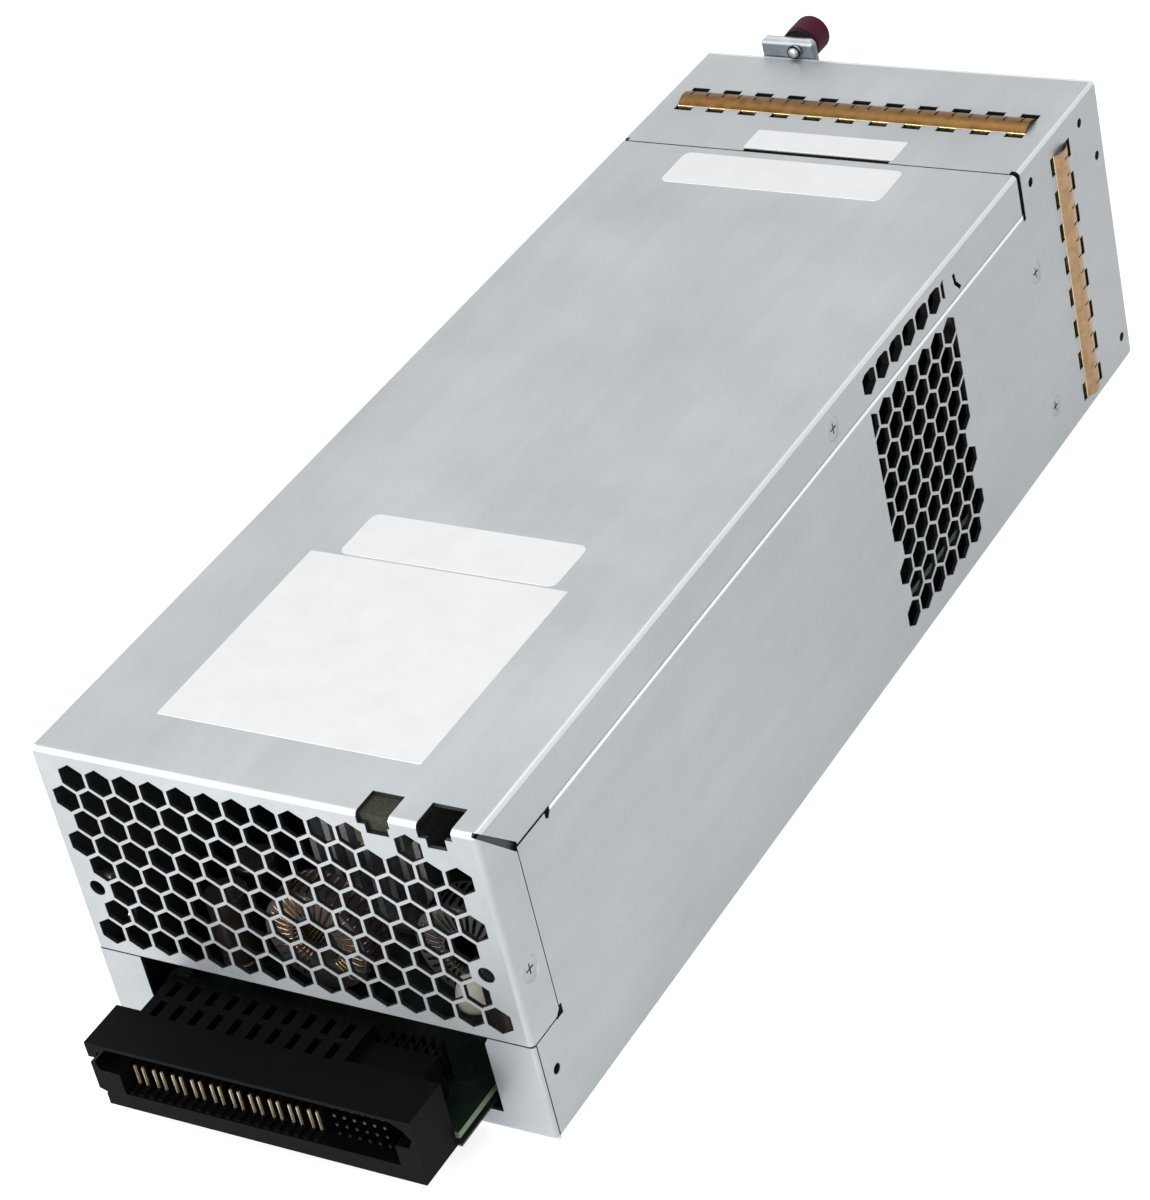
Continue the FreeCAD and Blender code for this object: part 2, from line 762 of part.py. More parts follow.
headroom = roof - board_top
sink_clearance = 16.0
bulk_clearance = 27.0
core_clearance = 32.0
card_height = 44.0
sink_height = headroom - sink_clearance
sink_near = along(0.16)
save("output_heat_sink", comb(across(-0.47), across(0.12), sink_near, along(0.345), sink_height, 7))
hot_left = across(-0.93)
hot_width = 18.0
hot_near = along(0.392)
hot_far = along(0.656)
save("primary_heat_sink", comb(hot_left, hot_left + hot_width, hot_near, hot_far, sink_height - 4.0, 5))

choke_radius = 13.0
choke_bore = 6.0
choke_width = 9.0
choke_spots = [(across(-0.23), along(0.096)), (across(0.47), along(0.12))]
cores = []
coils = []
for x, y in choke_spots:
    cores.append(toroid(x, y, choke_radius, choke_bore, choke_width))
    coils.append(winding(x, y, choke_radius, choke_bore, choke_width, 13))
save("choke_cores", Part.makeCompound(cores))
save("choke_windings", Part.makeCompound(coils))

bulk_radius = 15.0
bulk_height = headroom - bulk_clearance
bulk_cans = [can(across(share), along(0.784), bulk_radius, bulk_height) for share in (-0.23, 0.47)]
save("bulk_capacitors", Part.makeCompound(bulk_cans))
output_spots = [(across(-0.7), along(0.088)), (across(-0.7), along(0.136)), (across(0.78), along(0.064))]
output_spots = output_spots + [(across(x), along(y)) for x in (0.39, 0.63) for y in (0.208, 0.256)]
save("output_capacitors", Part.makeCompound([can(x, y, 5.0, 20.0) for x, y in output_spots]))

# Main transformer: two ferrite E halves round a wound bobbin
core_x = across(0.117)
core_y = along(0.488)
core_half = 22.0
core_side = 7.0
core_height = headroom - core_clearance
core_depth = 36.0
bobbin_overhang = 5.0
window_half = core_half - core_side
window_foot = board_top + core_side
window_top = board_top + core_height - core_side
core_top = board_top + core_height
core_left = core_x - core_half
core_near = core_y - core_depth / 2
core_far = core_near + core_depth
core = block(core_left, core_left + 2 * core_half, core_near, core_far, board_top, core_top)
window_left = core_x - window_half
window_right = core_x + window_half
window = block(window_left, window_right, core_near - 1, core_far + 1, window_foot, window_top)
save("transformer_core", core.cut(window))
bobbin_near = core_near - bobbin_overhang
bobbin = block(window_left, window_right, bobbin_near, core_far + bobbin_overhang, window_foot, window_top)
bobbin_edges = []
for x in (window_left, window_right):
    for z in (window_foot, window_top):
        bobbin_edges.append([("x", x), ("z", z)])
save("transformer_winding", round_edges(bobbin, 4.0, bobbin_edges))

filter_x = across(-0.74)
filter_y = along(0.912)
filter_core = rod_z(filter_x, filter_y, 12.0, board_top + 1.0, board_top + 15.0)
filter_core = filter_core.cut(rod_z(filter_x, filter_y, 5.0, board_top, board_top + 20.0))
filter_foot = Part.makeBox(18.0, 18.0, 1.0, V(filter_x - 9.0, filter_y - 9.0, board_top))
save("filter_choke", join([filter_core, filter_foot]))
card_x = board_half - 7.45
card_near = along(0.384)
card = block(card_x, card_x + board_stock, card_near, hot_far, board_top, board_top + card_height)
save("daughter_board", card)

# Power transistors stand against the primary heat sink on three leads each
transistors = []
body_x = hot_left + hot_width
for k in range(3):
    y = hot_near + 4.0 + k * (hot_far - hot_near - 4.0) / 3
    transistors.append(block(body_x, body_x + 4.6, y, y + 15.0, board_top + 8.0, board_top + 28.0))
    for leg in range(3):
        lead = y + 2.1 + leg * 5.0
        transistors.append(block(body_x + 1.4, body_x + 2.2, lead, lead + 0.8, board_top, board_top + 8.0))
save("power_transistors", Part.makeCompound(transistors))
pad_left = half_width - 31.45
save("foam_pad", block(pad_left, pad_left + 11.6, bend_radius, 12.0, roof - 8.0, roof))

# ---- Bulkhead that carries the inner ends of the fans ----
bulkhead = block(-inner, inner, bulkhead_y, bulkhead_y + sheet, sheet, roof)
bulkhead = round_edges(bulkhead, bend_inside, long_edges(inner, sheet, roof))
flange_near = bulkhead_y - 9.0
flange_right = block(inner - sheet, inner, flange_near, bulkhead_y + 0.5, sheet + 1, body_height - 20.1)
bulkhead = join([bulkhead, flange_right, mirrored(flange_right)])
bulkhead_cuts = []
for step in range(2):
    z = fan_low_z + step * fan_step
    bulkhead_cuts.append(rod_y(fan_x, z, fan_bore_radius - 0.6, bulkhead_y - 1, bulkhead_y + 2))
air_left = 11.45 - inner
air_hole = block(air_left, air_left + 48.0, bulkhead_y - 1, bulkhead_y + 2, 14.0, body_height - 30.1)
bulkhead_cuts.append(air_hole)
for y, z in bulkhead_screws:
    hole = rod_x(y, z, shank_radius + shank_clearance, half_width - 3, half_width)
    bulkhead_cuts.append(hole)
    bulkhead_cuts.append(mirrored(hole))
save("fan_bulkhead", bulkhead.cut(bulkhead_cuts))

# ---- Exterior panel: perforated over the fans, with inlet, lamp and lever features ----
panel = block(-inner, inner, panel_back, panel_face, sheet, roof)
panel = round_edges(panel, bend_inside, long_edges(inner, sheet, roof))
flange_near = panel_back - 12.0
side_flange = block(inner - sheet, inner, flange_near, panel_back + 0.5, sheet + 2, roof - 2)
panel = join([panel, side_flange, mirrored(side_flange)])
inlet_neck = inlet_width - 3.6
inlet_rise = inlet_height - 3.4
lamp_spots = [(inlet_x - 5.0, body_height - 20.1), (inlet_x + 5.0, body_height - 20.1)]


def around_inlet(width, height, y0, y1):
    left = inlet_x - width / 2
    foot = inlet_z - height / 2
    return block(left, left + width, y0, y1, foot, foot + height)


fan_corners = []
panel_cuts = []
for step in range(2):
    fan_z = fan_low_z + step * fan_step
    for row in range(-2, 3):
        for column in range(-2, 3):
            x = fan_x + (column + (0.5 if row % 2 else 0)) * hex_pitch
            z = fan_z + row * hex_row
            if math.hypot(x - fan_x, z - fan_z) < fan_bore_radius - 2.2:
                panel_cuts.append(plate_y(hexagon(x, z, hex_point), panel_back - 1, panel_face + 1))
    for sx in (-1, 1):
        for sz in (-1, 1):
            fan_corners.append((fan_x + sx * fan_screw_pitch / 2, fan_z + sz * fan_screw_pitch / 2))
for x, z in fan_corners:
    panel_cuts.append(rod_y(x, z, 1.7, panel_back - 1, panel_face + 1))
for x, z in lamp_spots:
    panel_cuts.append(rod_y(x, z, 1.55, panel_back - 1, panel_face + 1))
panel_cuts.append(around_inlet(inlet_neck, inlet_rise, panel_back - 1, panel_face + 1))
save("exterior_panel", panel.cut(panel_cuts))

# Fans: square frame with a strutted motor seat, and a bladed rotor on a running shaft
fan_back = panel_back - fan_depth
fan_screws = []
for step, name in enumerate(("lower", "upper")):
    fan_z = fan_low_z + step * fan_step
    half = fan_size / 2
    frame = block(fan_x - half, fan_x + half, fan_back, panel_back, fan_z - half, fan_z + half)
    corners = [[("x", fan_x + sx * half), ("z", fan_z + sz * half)] for sx in (-1, 1) for sz in (-1, 1)]
    frame = round_edges(frame, 3.0, corners)
    frame = frame.cut(rod_y(fan_x, fan_z, fan_bore_radius, fan_back - 1, panel_back + 1))
    for x, z in fan_corners[4 * step:4 * step + 4]:
        frame = frame.cut(rod_y(x, z, 1.35, panel_back - 8.0, panel_back + 1))
    hub = rod_y(fan_x, fan_z, 8.5, fan_back, fan_back + 3.0)
    struts = []
    for k in range(3):
        strut = block(fan_x + 7.0, fan_x + half - 0.5, fan_back, fan_back + 3.0, fan_z - 1.2, fan_z + 1.2)
        strut.rotate(V(fan_x, 0, fan_z), V(0, 1, 0), 30 + 120 * k)
        struts.append(strut)
    axle = rod_y(fan_x, fan_z, axle_radius, fan_back + 2.0, fan_back + 16.0)
    save("fan_frame_" + name, join([frame, hub, axle] + struts))
    cup = rod_y(fan_x, fan_z, 8.5, fan_back + 4.0, panel_back - 3.0)
    vanes = []
    vane_end = panel_back - 4.5
    for k in range(7):
        vane = block(fan_x - 0.5, fan_x + 0.5, fan_back + 5.0, vane_end, fan_z + 6.0, fan_z + rotor_radius)
        vane.rotate(V(fan_x, (fan_back + panel_back) / 2, fan_z), V(0, 0, 1), 32)
        vane.rotate(V(fan_x, 0, fan_z), V(0, 1, 0), 360.0 * k / 7)
        vanes.append(vane)
    swept = join([cup] + vanes)
    limit = rod_y(fan_x, fan_z, rotor_radius, fan_back + 3.8, panel_back - 2.0)
    bearing = rod_y(fan_x, fan_z, axle_radius + running_gap, fan_back + 3.0, fan_back + 16.5)
    save("fan_rotor_" + name, swept.common(limit).cut(bearing))
    for x, z in fan_corners[4 * step:4 * step + 4]:
        head = rod_y(x, z, 2.6, panel_face, panel_face + 1.5)
        shank = rod_y(x, z, 1.3, panel_back - 7.0, panel_face)
        slot = block(x - 1.8, x + 1.8, panel_face + 0.7, panel_face + 2, z - 0.3, z + 0.3)
        fan_screws.append(head.cut(slot).fuse(shank))
save("fan_screws", Part.makeCompound(fan_screws))

# Mains inlet: flanged socket with three flat pins
flange_front = panel_face + 1.8
inlet_back = panel_face - inlet_depth
socket = around_inlet(inlet_width, inlet_height, panel_face, flange_front)
inlet_left = inlet_x - inlet_width / 2
inlet_foot = inlet_z - inlet_height / 2
inlet_corners = []
for x in (inlet_left, inlet_left + inlet_width):
    for z in (inlet_foot, inlet_foot + inlet_height):
        inlet_corners.append([("x", x), ("z", z)])
socket = round_edges(socket, 2.0, inlet_corners)
neck = around_inlet(inlet_neck, inlet_rise, inlet_back, panel_face)
well_outline = [
    (inlet_x - 12.0, inlet_z - 8.2),
    (inlet_x + 12.0, inlet_z - 8.2),
    (inlet_x + 12.0, inlet_z + 3.6),
    (inlet_x + 7.4, inlet_z + 8.2),
    (inlet_x - 7.4, inlet_z + 8.2),
    (inlet_x - 12.0, inlet_z + 3.6),
]
well_floor = inlet_back + 3.3
socket = join([socket, neck]).cut(plate_y(well_outline, well_floor, flange_front + 1))
pin_spots = [(inlet_x - 7.0, inlet_z - 2.0), (inlet_x, inlet_z + 2.0), (inlet_x + 7.0, inlet_z - 2.0)]
inlet_pins = []
for x, z in pin_spots:
    pin = block(x - 1.0, x + 1.0, inlet_back - 7.0, flange_front - 3.0, z - 2.0, z + 2.0)
    socket = socket.cut(pin)
    inlet_pins.append(pin)
save("ac_inlet", socket)
save("ac_inlet_pins", Part.makeCompound(inlet_pins))

# Status lamps: domed lenses pressed in the panel
lamps = []
for x, z in lamp_spots:
    barrel = rod_y(x, z, 1.5, panel_back - 4.0, panel_face)
    collar = rod_y(x, z, 2.0, panel_face, panel_face + 0.4)
    dome = Part.makeSphere(1.5, V(x, panel_face, z)).common(rod_y(x, z, 1.5, panel_face, panel_face + 2))
    lamps.append(join([barrel, collar, dome]))
save("status_lamps", Part.makeCompound(lamps))

# ---- Latch lever: channel hinged at the foot of the panel, tab at the top ----
web = block(lever_left, lever_right, lever_face, lever_face + sheet, pivot_z + 0.5, lever_top)
tab_back = lever_face + tab_depth
hem = block(lever_left, lever_right, lever_face, tab_back, lever_top - tab_height, lever_top)
cheek_outline = [
    (lever_face, pivot_z + 0.5),
    (pivot_y - 3.0, pivot_z - 3.3),
    (pivot_y + 3.0, pivot_z - 3.3),
    (pivot_y + 4.4, pivot_z),
    (pivot_y + 4.4, pivot_z + 7.0),
    (lever_face + 5.0, pivot_z + 20.0),
    (lever_face + 5.0, lever_top - 22.0),
    (tab_back, lever_top - tab_height),
    (tab_back, lever_top),
    (lever_face, lever_top),
]
cheek_left = plate_x(cheek_outline, lever_left, lever_left + sheet)
cheek_right = plate_x(cheek_outline, lever_right - sheet, lever_right)
lever = join([web, hem, cheek_left, cheek_right])
lever_bends = [
    [("x", lever_left), ("y", lever_face)],
    [("x", lever_right), ("y", lever_face)],
]
lever = round_edges(lever, 0.9 * sheet, lever_bends)
crown_y = lever_face + tab_round
crown_z = lever_top - tab_round
crown_waste = block(lever_left - 1, lever_right + 1, lever_face - 1, crown_y, crown_z, lever_top + 1)
crown_waste = crown_waste.cut(rod_x(crown_y, crown_z, tab_round, lever_left - 1, lever_right + 1))
corner_left = lever_left + tab_depth
corner_right = lever_right - tab_depth
corner_z = lever_top - tab_depth
left_waste = block(lever_left - 1, corner_left, lever_face - 1, tab_back + 1, corner_z, lever_top + 1)
left_waste = left_waste.cut(rod_y(corner_left, corner_z, tab_depth, lever_face - 1, tab_back + 1))
right_waste = block(corner_right, lever_right + 1, lever_face - 1, tab_back + 1, corner_z, lever_top + 1)
right_waste = right_waste.cut(rod_y(corner_right, corner_z, tab_depth, lever_face - 1, tab_back + 1))
lever_holes = [
    rod_x(pivot_y, pivot_z, pivot_radius + 0.06, lever_left - 1, lever_right + 1),
    rod_y(screw_x, screw_z, shank_radius + 0.15, lever_face - 1, tab_back + 1),
]
lever = lever.cut([crown_waste, left_waste, right_waste] + lever_holes)
save("latch_lever", lever)

# Hinge bracket on the panel, with the pivot pin through its ears
ear_outline = [
    (panel_face, 2.6),
    (pivot_y - 0.5, pivot_z - 4.0),
    (pivot_y + 3.4, pivot_z - 1.0),
    (pivot_y + 3.4, pivot_z + 2.0),
    (pivot_y + 1.6, pivot_z + 3.4),
    (pivot_y - 1.8, pivot_z + 3.0),
    (pivot_y - 3.4, pivot_z - 0.6),
    (panel_face, pivot_z - 1.6),
]
ear_left = plate_x(ear_outline, lever_left + sheet + 0.4, lever_left + 2 * sheet + 0.6)
ear_right = plate_x(ear_outline, lever_right - 2 * sheet - 0.6, lever_right - sheet - 0.4)
foot_left = lever_left + sheet + 0.4
foot_right = lever_right - sheet - 0.4
foot = block(foot_left, foot_right, panel_face, panel_face + sheet, 2.6, pivot_z - 1.6)
bracket = join([ear_left, ear_right, foot])
save("lever_bracket", bracket.cut(rod_x(pivot_y, pivot_z, pivot_radius, lever_left, lever_right)))
pin_rod = rod_x(pivot_y, pivot_z, pivot_radius, lever_left - 0.4, lever_right + 0.4)
pin_head_left = rod_x(pivot_y, pivot_z, 2.1, lever_left - 1.4, lever_left - 0.3)
pin_head_right = rod_x(pivot_y, pivot_z, 2.1, lever_right + 0.3, lever_right + 1.4)
save("lever_pivot_pin", join([pin_rod, pin_head_left, pin_head_right]))

# Captive thumbscrew: collar staked in the tab, washer, screw, clip and knob
collar_end = tab_back + 0.7
washer_end = collar_end + 0.4
knob_start = washer_end + 0.1
knob_end = body_length + knob_reach
collar_ring = rod_y(screw_x, screw_z, collar_radius, tab_back, collar_end)
collar_bore = rod_y(screw_x, screw_z, shank_radius + 0.07, tab_back - 1, collar_end + 1)
save("tab_collar", collar_ring.cut(collar_bore))
washer_ring = rod_y(screw_x, screw_z, collar_radius - 0.3, collar_end + 0.05, washer_end)
washer_bore = rod_y(screw_x, screw_z, shank_radius + running_gap, collar_end, washer_end + 1)
save("thumbscrew_washer", washer_ring.cut(washer_bore))
clip_end = lever_face - pull_travel
clip_start = clip_end - 0.4
screw_tip = clip_start - 0.7
stem = rod_y(screw_x, screw_z, shank_radius, screw_tip, knob_start + 5.0)
tip_ring = [edge for edge in stem.Edges if on_edge(edge, "y", screw_tip)]
stem = stem.makeChamfer(0.35, [tip_ring[0]])
save("thumbscrew_stem", stem)
clip_ring = rod_y(screw_x, screw_z, shank_radius + 0.35, clip_start, clip_end)
save("retaining_clip", clip_ring.cut(rod_y(screw_x, screw_z, shank_radius, screw_tip, clip_end + 1)))
knob = rod_y(screw_x, screw_z, knob_radius, knob_start, knob_end)
crown = [edge for edge in knob.Edges if on_edge(edge, "y", knob_end)]
knob = knob.makeFillet(0.9, [crown[0]])
save("thumbscrew_knob", knob.cut(rod_y(screw_x, screw_z, shank_radius, knob_start - 1, knob_start + 5.0)))

# ---- Flat-head screws of the cover and of the bulkhead ----
cover_set = []
for y, z in cover_screws:
    screw = side_screw(y, z, 5.0)
    cover_set.append(screw)
    cover_set.append(mirrored(screw))
save("cover_screws", Part.makeCompound(cover_set))
bulkhead_set = []
for y, z in bulkhead_screws:
    screw = side_screw(y, z, 4.0)
    bulkhead_set.append(screw)
    bulkhead_set.append(mirrored(screw))
save("bulkhead_screws", Part.makeCompound(bulkhead_set))
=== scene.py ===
import math

import bmesh
import bpy
import numpy as np
from mathutils import Matrix, Vector


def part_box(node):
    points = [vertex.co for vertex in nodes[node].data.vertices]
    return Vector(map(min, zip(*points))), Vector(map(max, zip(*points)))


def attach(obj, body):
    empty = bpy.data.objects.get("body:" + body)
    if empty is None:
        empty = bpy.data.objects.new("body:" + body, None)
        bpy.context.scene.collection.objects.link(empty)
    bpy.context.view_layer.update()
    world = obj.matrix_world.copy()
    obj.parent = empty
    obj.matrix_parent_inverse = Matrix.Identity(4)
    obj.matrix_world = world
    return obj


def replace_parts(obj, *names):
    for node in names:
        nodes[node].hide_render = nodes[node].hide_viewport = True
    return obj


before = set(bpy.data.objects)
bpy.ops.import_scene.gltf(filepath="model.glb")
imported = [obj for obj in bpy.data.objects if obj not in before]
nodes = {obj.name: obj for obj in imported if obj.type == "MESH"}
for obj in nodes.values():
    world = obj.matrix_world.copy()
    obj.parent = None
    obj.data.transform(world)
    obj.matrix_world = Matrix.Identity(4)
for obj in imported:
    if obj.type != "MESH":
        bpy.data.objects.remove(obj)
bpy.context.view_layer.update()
mm = 0.001
print("frame loaded:", len(nodes), "nodes")

# The sheet-metal body's own corner: left side, connector end, underside
coverLow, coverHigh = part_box("top_cover")
trayLow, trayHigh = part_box("chassis_tray")
bodyLeft = coverLow.x
bodyNear = coverLow.y
bodyTop = coverHigh.z


# Helpers that build shader nodes

def newMaterial(name):
    material = bpy.data.materials.new(name)
    material.use_nodes = True
    tree = material.node_tree
    tree.nodes.clear()
    output = tree.nodes.new("ShaderNodeOutputMaterial")
    shader = tree.nodes.new("ShaderNodeBsdfPrincipled")
    tree.links.new(shader.outputs["BSDF"], output.inputs["Surface"])
    return material, tree, shader


def objectPoints(tree, scale=(1, 1, 1)):
    # Object coordinates in metres, stretched by scale
    place = tree.nodes.new("ShaderNodeTexCoord")
    mapping = tree.nodes.new("ShaderNodeMapping")
    mapping.inputs["Scale"].default_value = scale
    tree.links.new(place.outputs["Object"], mapping.inputs["Vector"])
    return mapping.outputs["Vector"]


def noise(tree, points, scale, detail=3, rough=0.55):
    node = tree.nodes.new("ShaderNodeTexNoise")
    node.inputs["Scale"].default_value = scale
    node.inputs["Detail"].default_value = detail
    node.inputs["Roughness"].default_value = rough
    tree.links.new(points, node.inputs["Vector"])
    return node.outputs["Fac"]


def spread(tree, value, low, high, fromLow=0.3, fromHigh=0.7):
    # Carries the pattern's fromLow..fromHigh onto low..high
    node = tree.nodes.new("ShaderNodeMapRange")
    node.inputs["From Min"].default_value = fromLow
    node.inputs["From Max"].default_value = fromHigh
    node.inputs["To Min"].default_value = low
    node.inputs["To Max"].default_value = high
    tree.links.new(value, node.inputs["Value"])
    return node.outputs["Result"]


def maths(tree, operation, first, second):
    node = tree.nodes.new("ShaderNodeMath")
    node.operation = operation
    for socket, value in zip(node.inputs, (first, second)):
        if isinstance(value, (int, float)):
            socket.default_value = value
        else:
            tree.links.new(value, socket)
    return node.outputs["Value"]


def blendColours(tree, share, first, second):
    node = tree.nodes.new("ShaderNodeMix")
    node.data_type = "RGBA"
    tree.links.new(share, node.inputs["Factor"])
    for socket, value in ((node.inputs["A"], first), (node.inputs["B"], second)):
        if isinstance(value, (tuple, list)):
            socket.default_value = (*value, 1)
        else:
            tree.links.new(value, socket)
    return node.outputs["Result"]


def bump(tree, shader, height, depth, strength=0.4):
    node = tree.nodes.new("ShaderNodeBump")
    node.inputs["Strength"].default_value = strength
    node.inputs["Distance"].default_value = depth
    tree.links.new(height, node.inputs["Height"])
    tree.links.new(node.outputs["Normal"], shader.inputs["Normal"])


def wornEdges(tree, radius, low=0.0, high=1.0):
    # Rises where the surface turns sharply within radius
    bevel = tree.nodes.new("ShaderNodeBevel")
    bevel.samples = 4
    bevel.inputs["Radius"].default_value = radius
    geometry = tree.nodes.new("ShaderNodeNewGeometry")
    dot = tree.nodes.new("ShaderNodeVectorMath")
    dot.operation = "DOT_PRODUCT"
    tree.links.new(bevel.outputs["Normal"], dot.inputs[0])
    tree.links.new(geometry.outputs["Normal"], dot.inputs[1])
    return spread(tree, dot.outputs["Value"], high, low, 0.85, 0.995)


def vectors(tree, operation, first, second=None):
    node = tree.nodes.new("ShaderNodeVectorMath")
    node.operation = operation
    for socket, value in zip(node.inputs, (first, second)):
        if isinstance(value, tuple):
            socket.default_value = value
        elif value is not None:
            tree.links.new(value, socket)
    return node.outputs["Value" if operation == "LENGTH" else "Vector"]


def parts(tree, vector):
    node = tree.nodes.new("ShaderNodeSeparateXYZ")
    tree.links.new(vector, node.inputs["Vector"])
    return [node.outputs[axis] for axis in "XYZ"]


def surfaceTurn(tree):
    # The surface's direction along each axis, without its sign
    place = tree.nodes.new("ShaderNodeTexCoord")
    return parts(tree, vectors(tree, "ABSOLUTE", place.outputs["Normal"]))


# Finishes, one function for each kind of stock. The sheet's lengths are in millimetres:
# reach and skin bound the painted shade on the walls of holes, and the line is the strip
# under the flanges that gets a painted highlight

sheetFinish = {
    "dark": (0.41, 0.435, 0.45),
    "pale": (0.5, 0.525, 0.54),
    "metallic": 0.65,
    "bendRadius": 1.3,
    "bendHighlightGain": 1.45,
    "bendStart": 0.3,
    "cutShade": 0.1,
    "thickness": 0.9,
    "skin": 0.12,
    "reach": 1.1,
    "lineDrop": 11.2,
    "lineWidth": 1.2,
    "lineStart": 24.6,
    "lineGain": 1.75,
}


def sheetZones(tree, points, low, high):
    # Two masks of a folded box of sheet. The first, for a painted highlight, is 1 on the
    # bend lines round the top: well into the bend radius of the top and of a side at once. The
    # second, for painted shade, is 1 inside the box and on the walls of holes: under the rounded
    # box's skin and turned away from the face within reach, or deeper than the sheet is thick
    bend = sheetFinish["bendRadius"] * mm
    half = (high - low) / 2
    core = tuple(h - bend for h in half)
    away = vectors(tree, "ABSOLUTE", vectors(tree, "SUBTRACT", points, tuple((low + high) / 2)))
    over = vectors(tree, "SUBTRACT", away, core)
    overs = parts(tree, over)
    outside = vectors(tree, "LENGTH", vectors(tree, "MAXIMUM", over, (0, 0, 0)))
    largest = maths(tree, "MAXIMUM", maths(tree, "MAXIMUM", overs[0], overs[1]), overs[2])
    surface = maths(tree, "ADD", outside, maths(tree, "MINIMUM", largest, 0))
    depth = maths(tree, "SUBTRACT", bend, surface)
    start = bend * sheetFinish["bendStart"]
    near = [maths(tree, "GREATER_THAN", value, start) for value in overs]
    paintedBendHighlight = maths(tree, "MULTIPLY", near[2], maths(tree, "MAXIMUM", near[0], near[1]))
    paintedBendHighlight = maths(tree, "MULTIPLY", paintedBendHighlight, maths(tree, "LESS_THAN", depth, 0.1 * mm))
    walls = []
    for value, turn in zip(overs, surfaceTurn(tree)):
        close = maths(tree, "GREATER_THAN", value, bend - sheetFinish["reach"] * mm)
        walls.append(maths(tree, "MULTIPLY", close, maths(tree, "LESS_THAN", turn, 0.4)))
    wall = maths(tree, "MAXIMUM", maths(tree, "MAXIMUM", walls[0], walls[1]), walls[2])
    wall = maths(tree, "MULTIPLY", wall, maths(tree, "GREATER_THAN", depth, sheetFinish["skin"] * mm))
    within = maths(tree, "GREATER_THAN", depth, sheetFinish["thickness"] * mm)
    return paintedBendHighlight, maths(tree, "MAXIMUM", wall, within)


def flangeHighlight(tree, points):
    # 1 on the strip of the tray under the cover's flanges, which gets a painted highlight
    y, z = parts(tree, points)[1:]
    foot = bodyTop - sheetFinish["lineDrop"] * mm
    start = bodyNear + sheetFinish["lineStart"] * mm
    limits = [("LESS_THAN", z, foot), ("GREATER_THAN", y, start), ("LESS_THAN", y, coverHigh.y)]
    line = maths(tree, "GREATER_THAN", z, foot - sheetFinish["lineWidth"] * mm)
    for operation, value, limit in limits:
        line = maths(tree, "MULTIPLY", line, maths(tree, operation, value, limit))
    return line


def zincSheet(name, low, high, shade=1.0):
    # Zinc-plated steel: cloudy tone over fine crystals, with a satin sheen. A painted highlight
    # brightens each bend round the top, painted shade turns the inside and the walls of holes
    # near black, and a painted highlight lies on the strip under the flanges
    material, tree, shader = newMaterial(name)
    points = objectPoints(tree)
    clouds = noise(tree, points, 22, 4)
    grain = noise(tree, points, 900, 2)
    streaks = noise(tree, objectPoints(tree, (1, 0.12, 1)), 160, 3)
    crystals = tree.nodes.new("ShaderNodeTexVoronoi")
    crystals.inputs["Scale"].default_value = 420
    tree.links.new(points, crystals.inputs["Vector"])
    tone = maths(tree, "ADD", maths(tree, "MULTIPLY", clouds, 0.6), maths(tree, "MULTIPLY", streaks, 0.25))
    tone = maths(tree, "ADD", tone, maths(tree, "MULTIPLY", grain, 0.15))
    dark = tuple(c * shade for c in sheetFinish["dark"])
    pale = tuple(c * shade for c in sheetFinish["pale"])
    colour = blendColours(tree, spread(tree, tone, 0, 1, 0.35, 0.65), dark, pale)
    paintedBendHighlight, paintedInnerShade = sheetZones(tree, points, low, high)
    # Painted highlight on the bend lines round the top
    bright = tuple(min(c * sheetFinish["bendHighlightGain"], 1) for c in pale)
    colour = blendColours(tree, paintedBendHighlight, colour, bright)
    # Painted shade: near black inside the box and on the walls of holes
    colour = blendColours(tree, paintedInnerShade, colour, tuple(c * sheetFinish["cutShade"] for c in dark))
    # Painted highlight on the strip under the flanges
    lit = tuple(min(c * sheetFinish["lineGain"], 1) for c in pale)
    colour = blendColours(tree, flangeHighlight(tree, points), colour, lit)
    tree.links.new(colour, shader.inputs["Base Color"])
    shader.inputs["Metallic"].default_value = sheetFinish["metallic"]
    tree.links.new(spread(tree, clouds, 0.4, 0.5), shader.inputs["Roughness"])
    height = maths(tree, "ADD", grain, maths(tree, "MULTIPLY", crystals.outputs["Distance"], 0.5))
    bump(tree, shader, height, 0.00002, 0.25)
    return material


def brightSteel(name, tone=(0.62, 0.63, 0.64), rough=0.26):
    # Machined and plated small parts: bright, with faint turning marks
    material, tree, shader = newMaterial(name)
    points = objectPoints(tree)
    fine = noise(tree, points, 2600, 2)
    stain = noise(tree, points, 260, 3)
    dark = tuple(c * 0.8 for c in tone)
    colour = blendColours(tree, spread(tree, stain, 0, 1), dark, tone)
    tree.links.new(colour, shader.inputs["Base Color"])
    shader.inputs["Metallic"].default_value = 1.0
    tree.links.new(spread(tree, stain, rough, rough + 0.14), shader.inputs["Roughness"])
    bump(tree, shader, fine, 0.00001, 0.3)
    return material


def leverSteel(name):
    # Spring steel strip with painted light: painted shade on the faces that stand upright, paler where it
    # turns over to lie flat
    material, tree, shader = newMaterial(name)
    points = objectPoints(tree)
    stain = noise(tree, points, 180, 4)
    # Painted shade on the upright faces; the faces that lie flat stay paler
    upright = blendColours(tree, spread(tree, stain, 0, 1), (0.13, 0.155, 0.17), (0.19, 0.215, 0.235))
    flat = blendColours(tree, spread(tree, stain, 0, 1), (0.38, 0.4, 0.42), (0.48, 0.5, 0.52))
    lying = spread(tree, surfaceTurn(tree)[2], 0, 1, 0.1, 0.8)
    tree.links.new(blendColours(tree, lying, upright, flat), shader.inputs["Base Color"])
    shader.inputs["Metallic"].default_value = 0.9
    tree.links.new(spread(tree, stain, 0.42, 0.52), shader.inputs["Roughness"])
    bump(tree, shader, noise(tree, points, 1800, 2), 0.00001, 0.3)
    return material


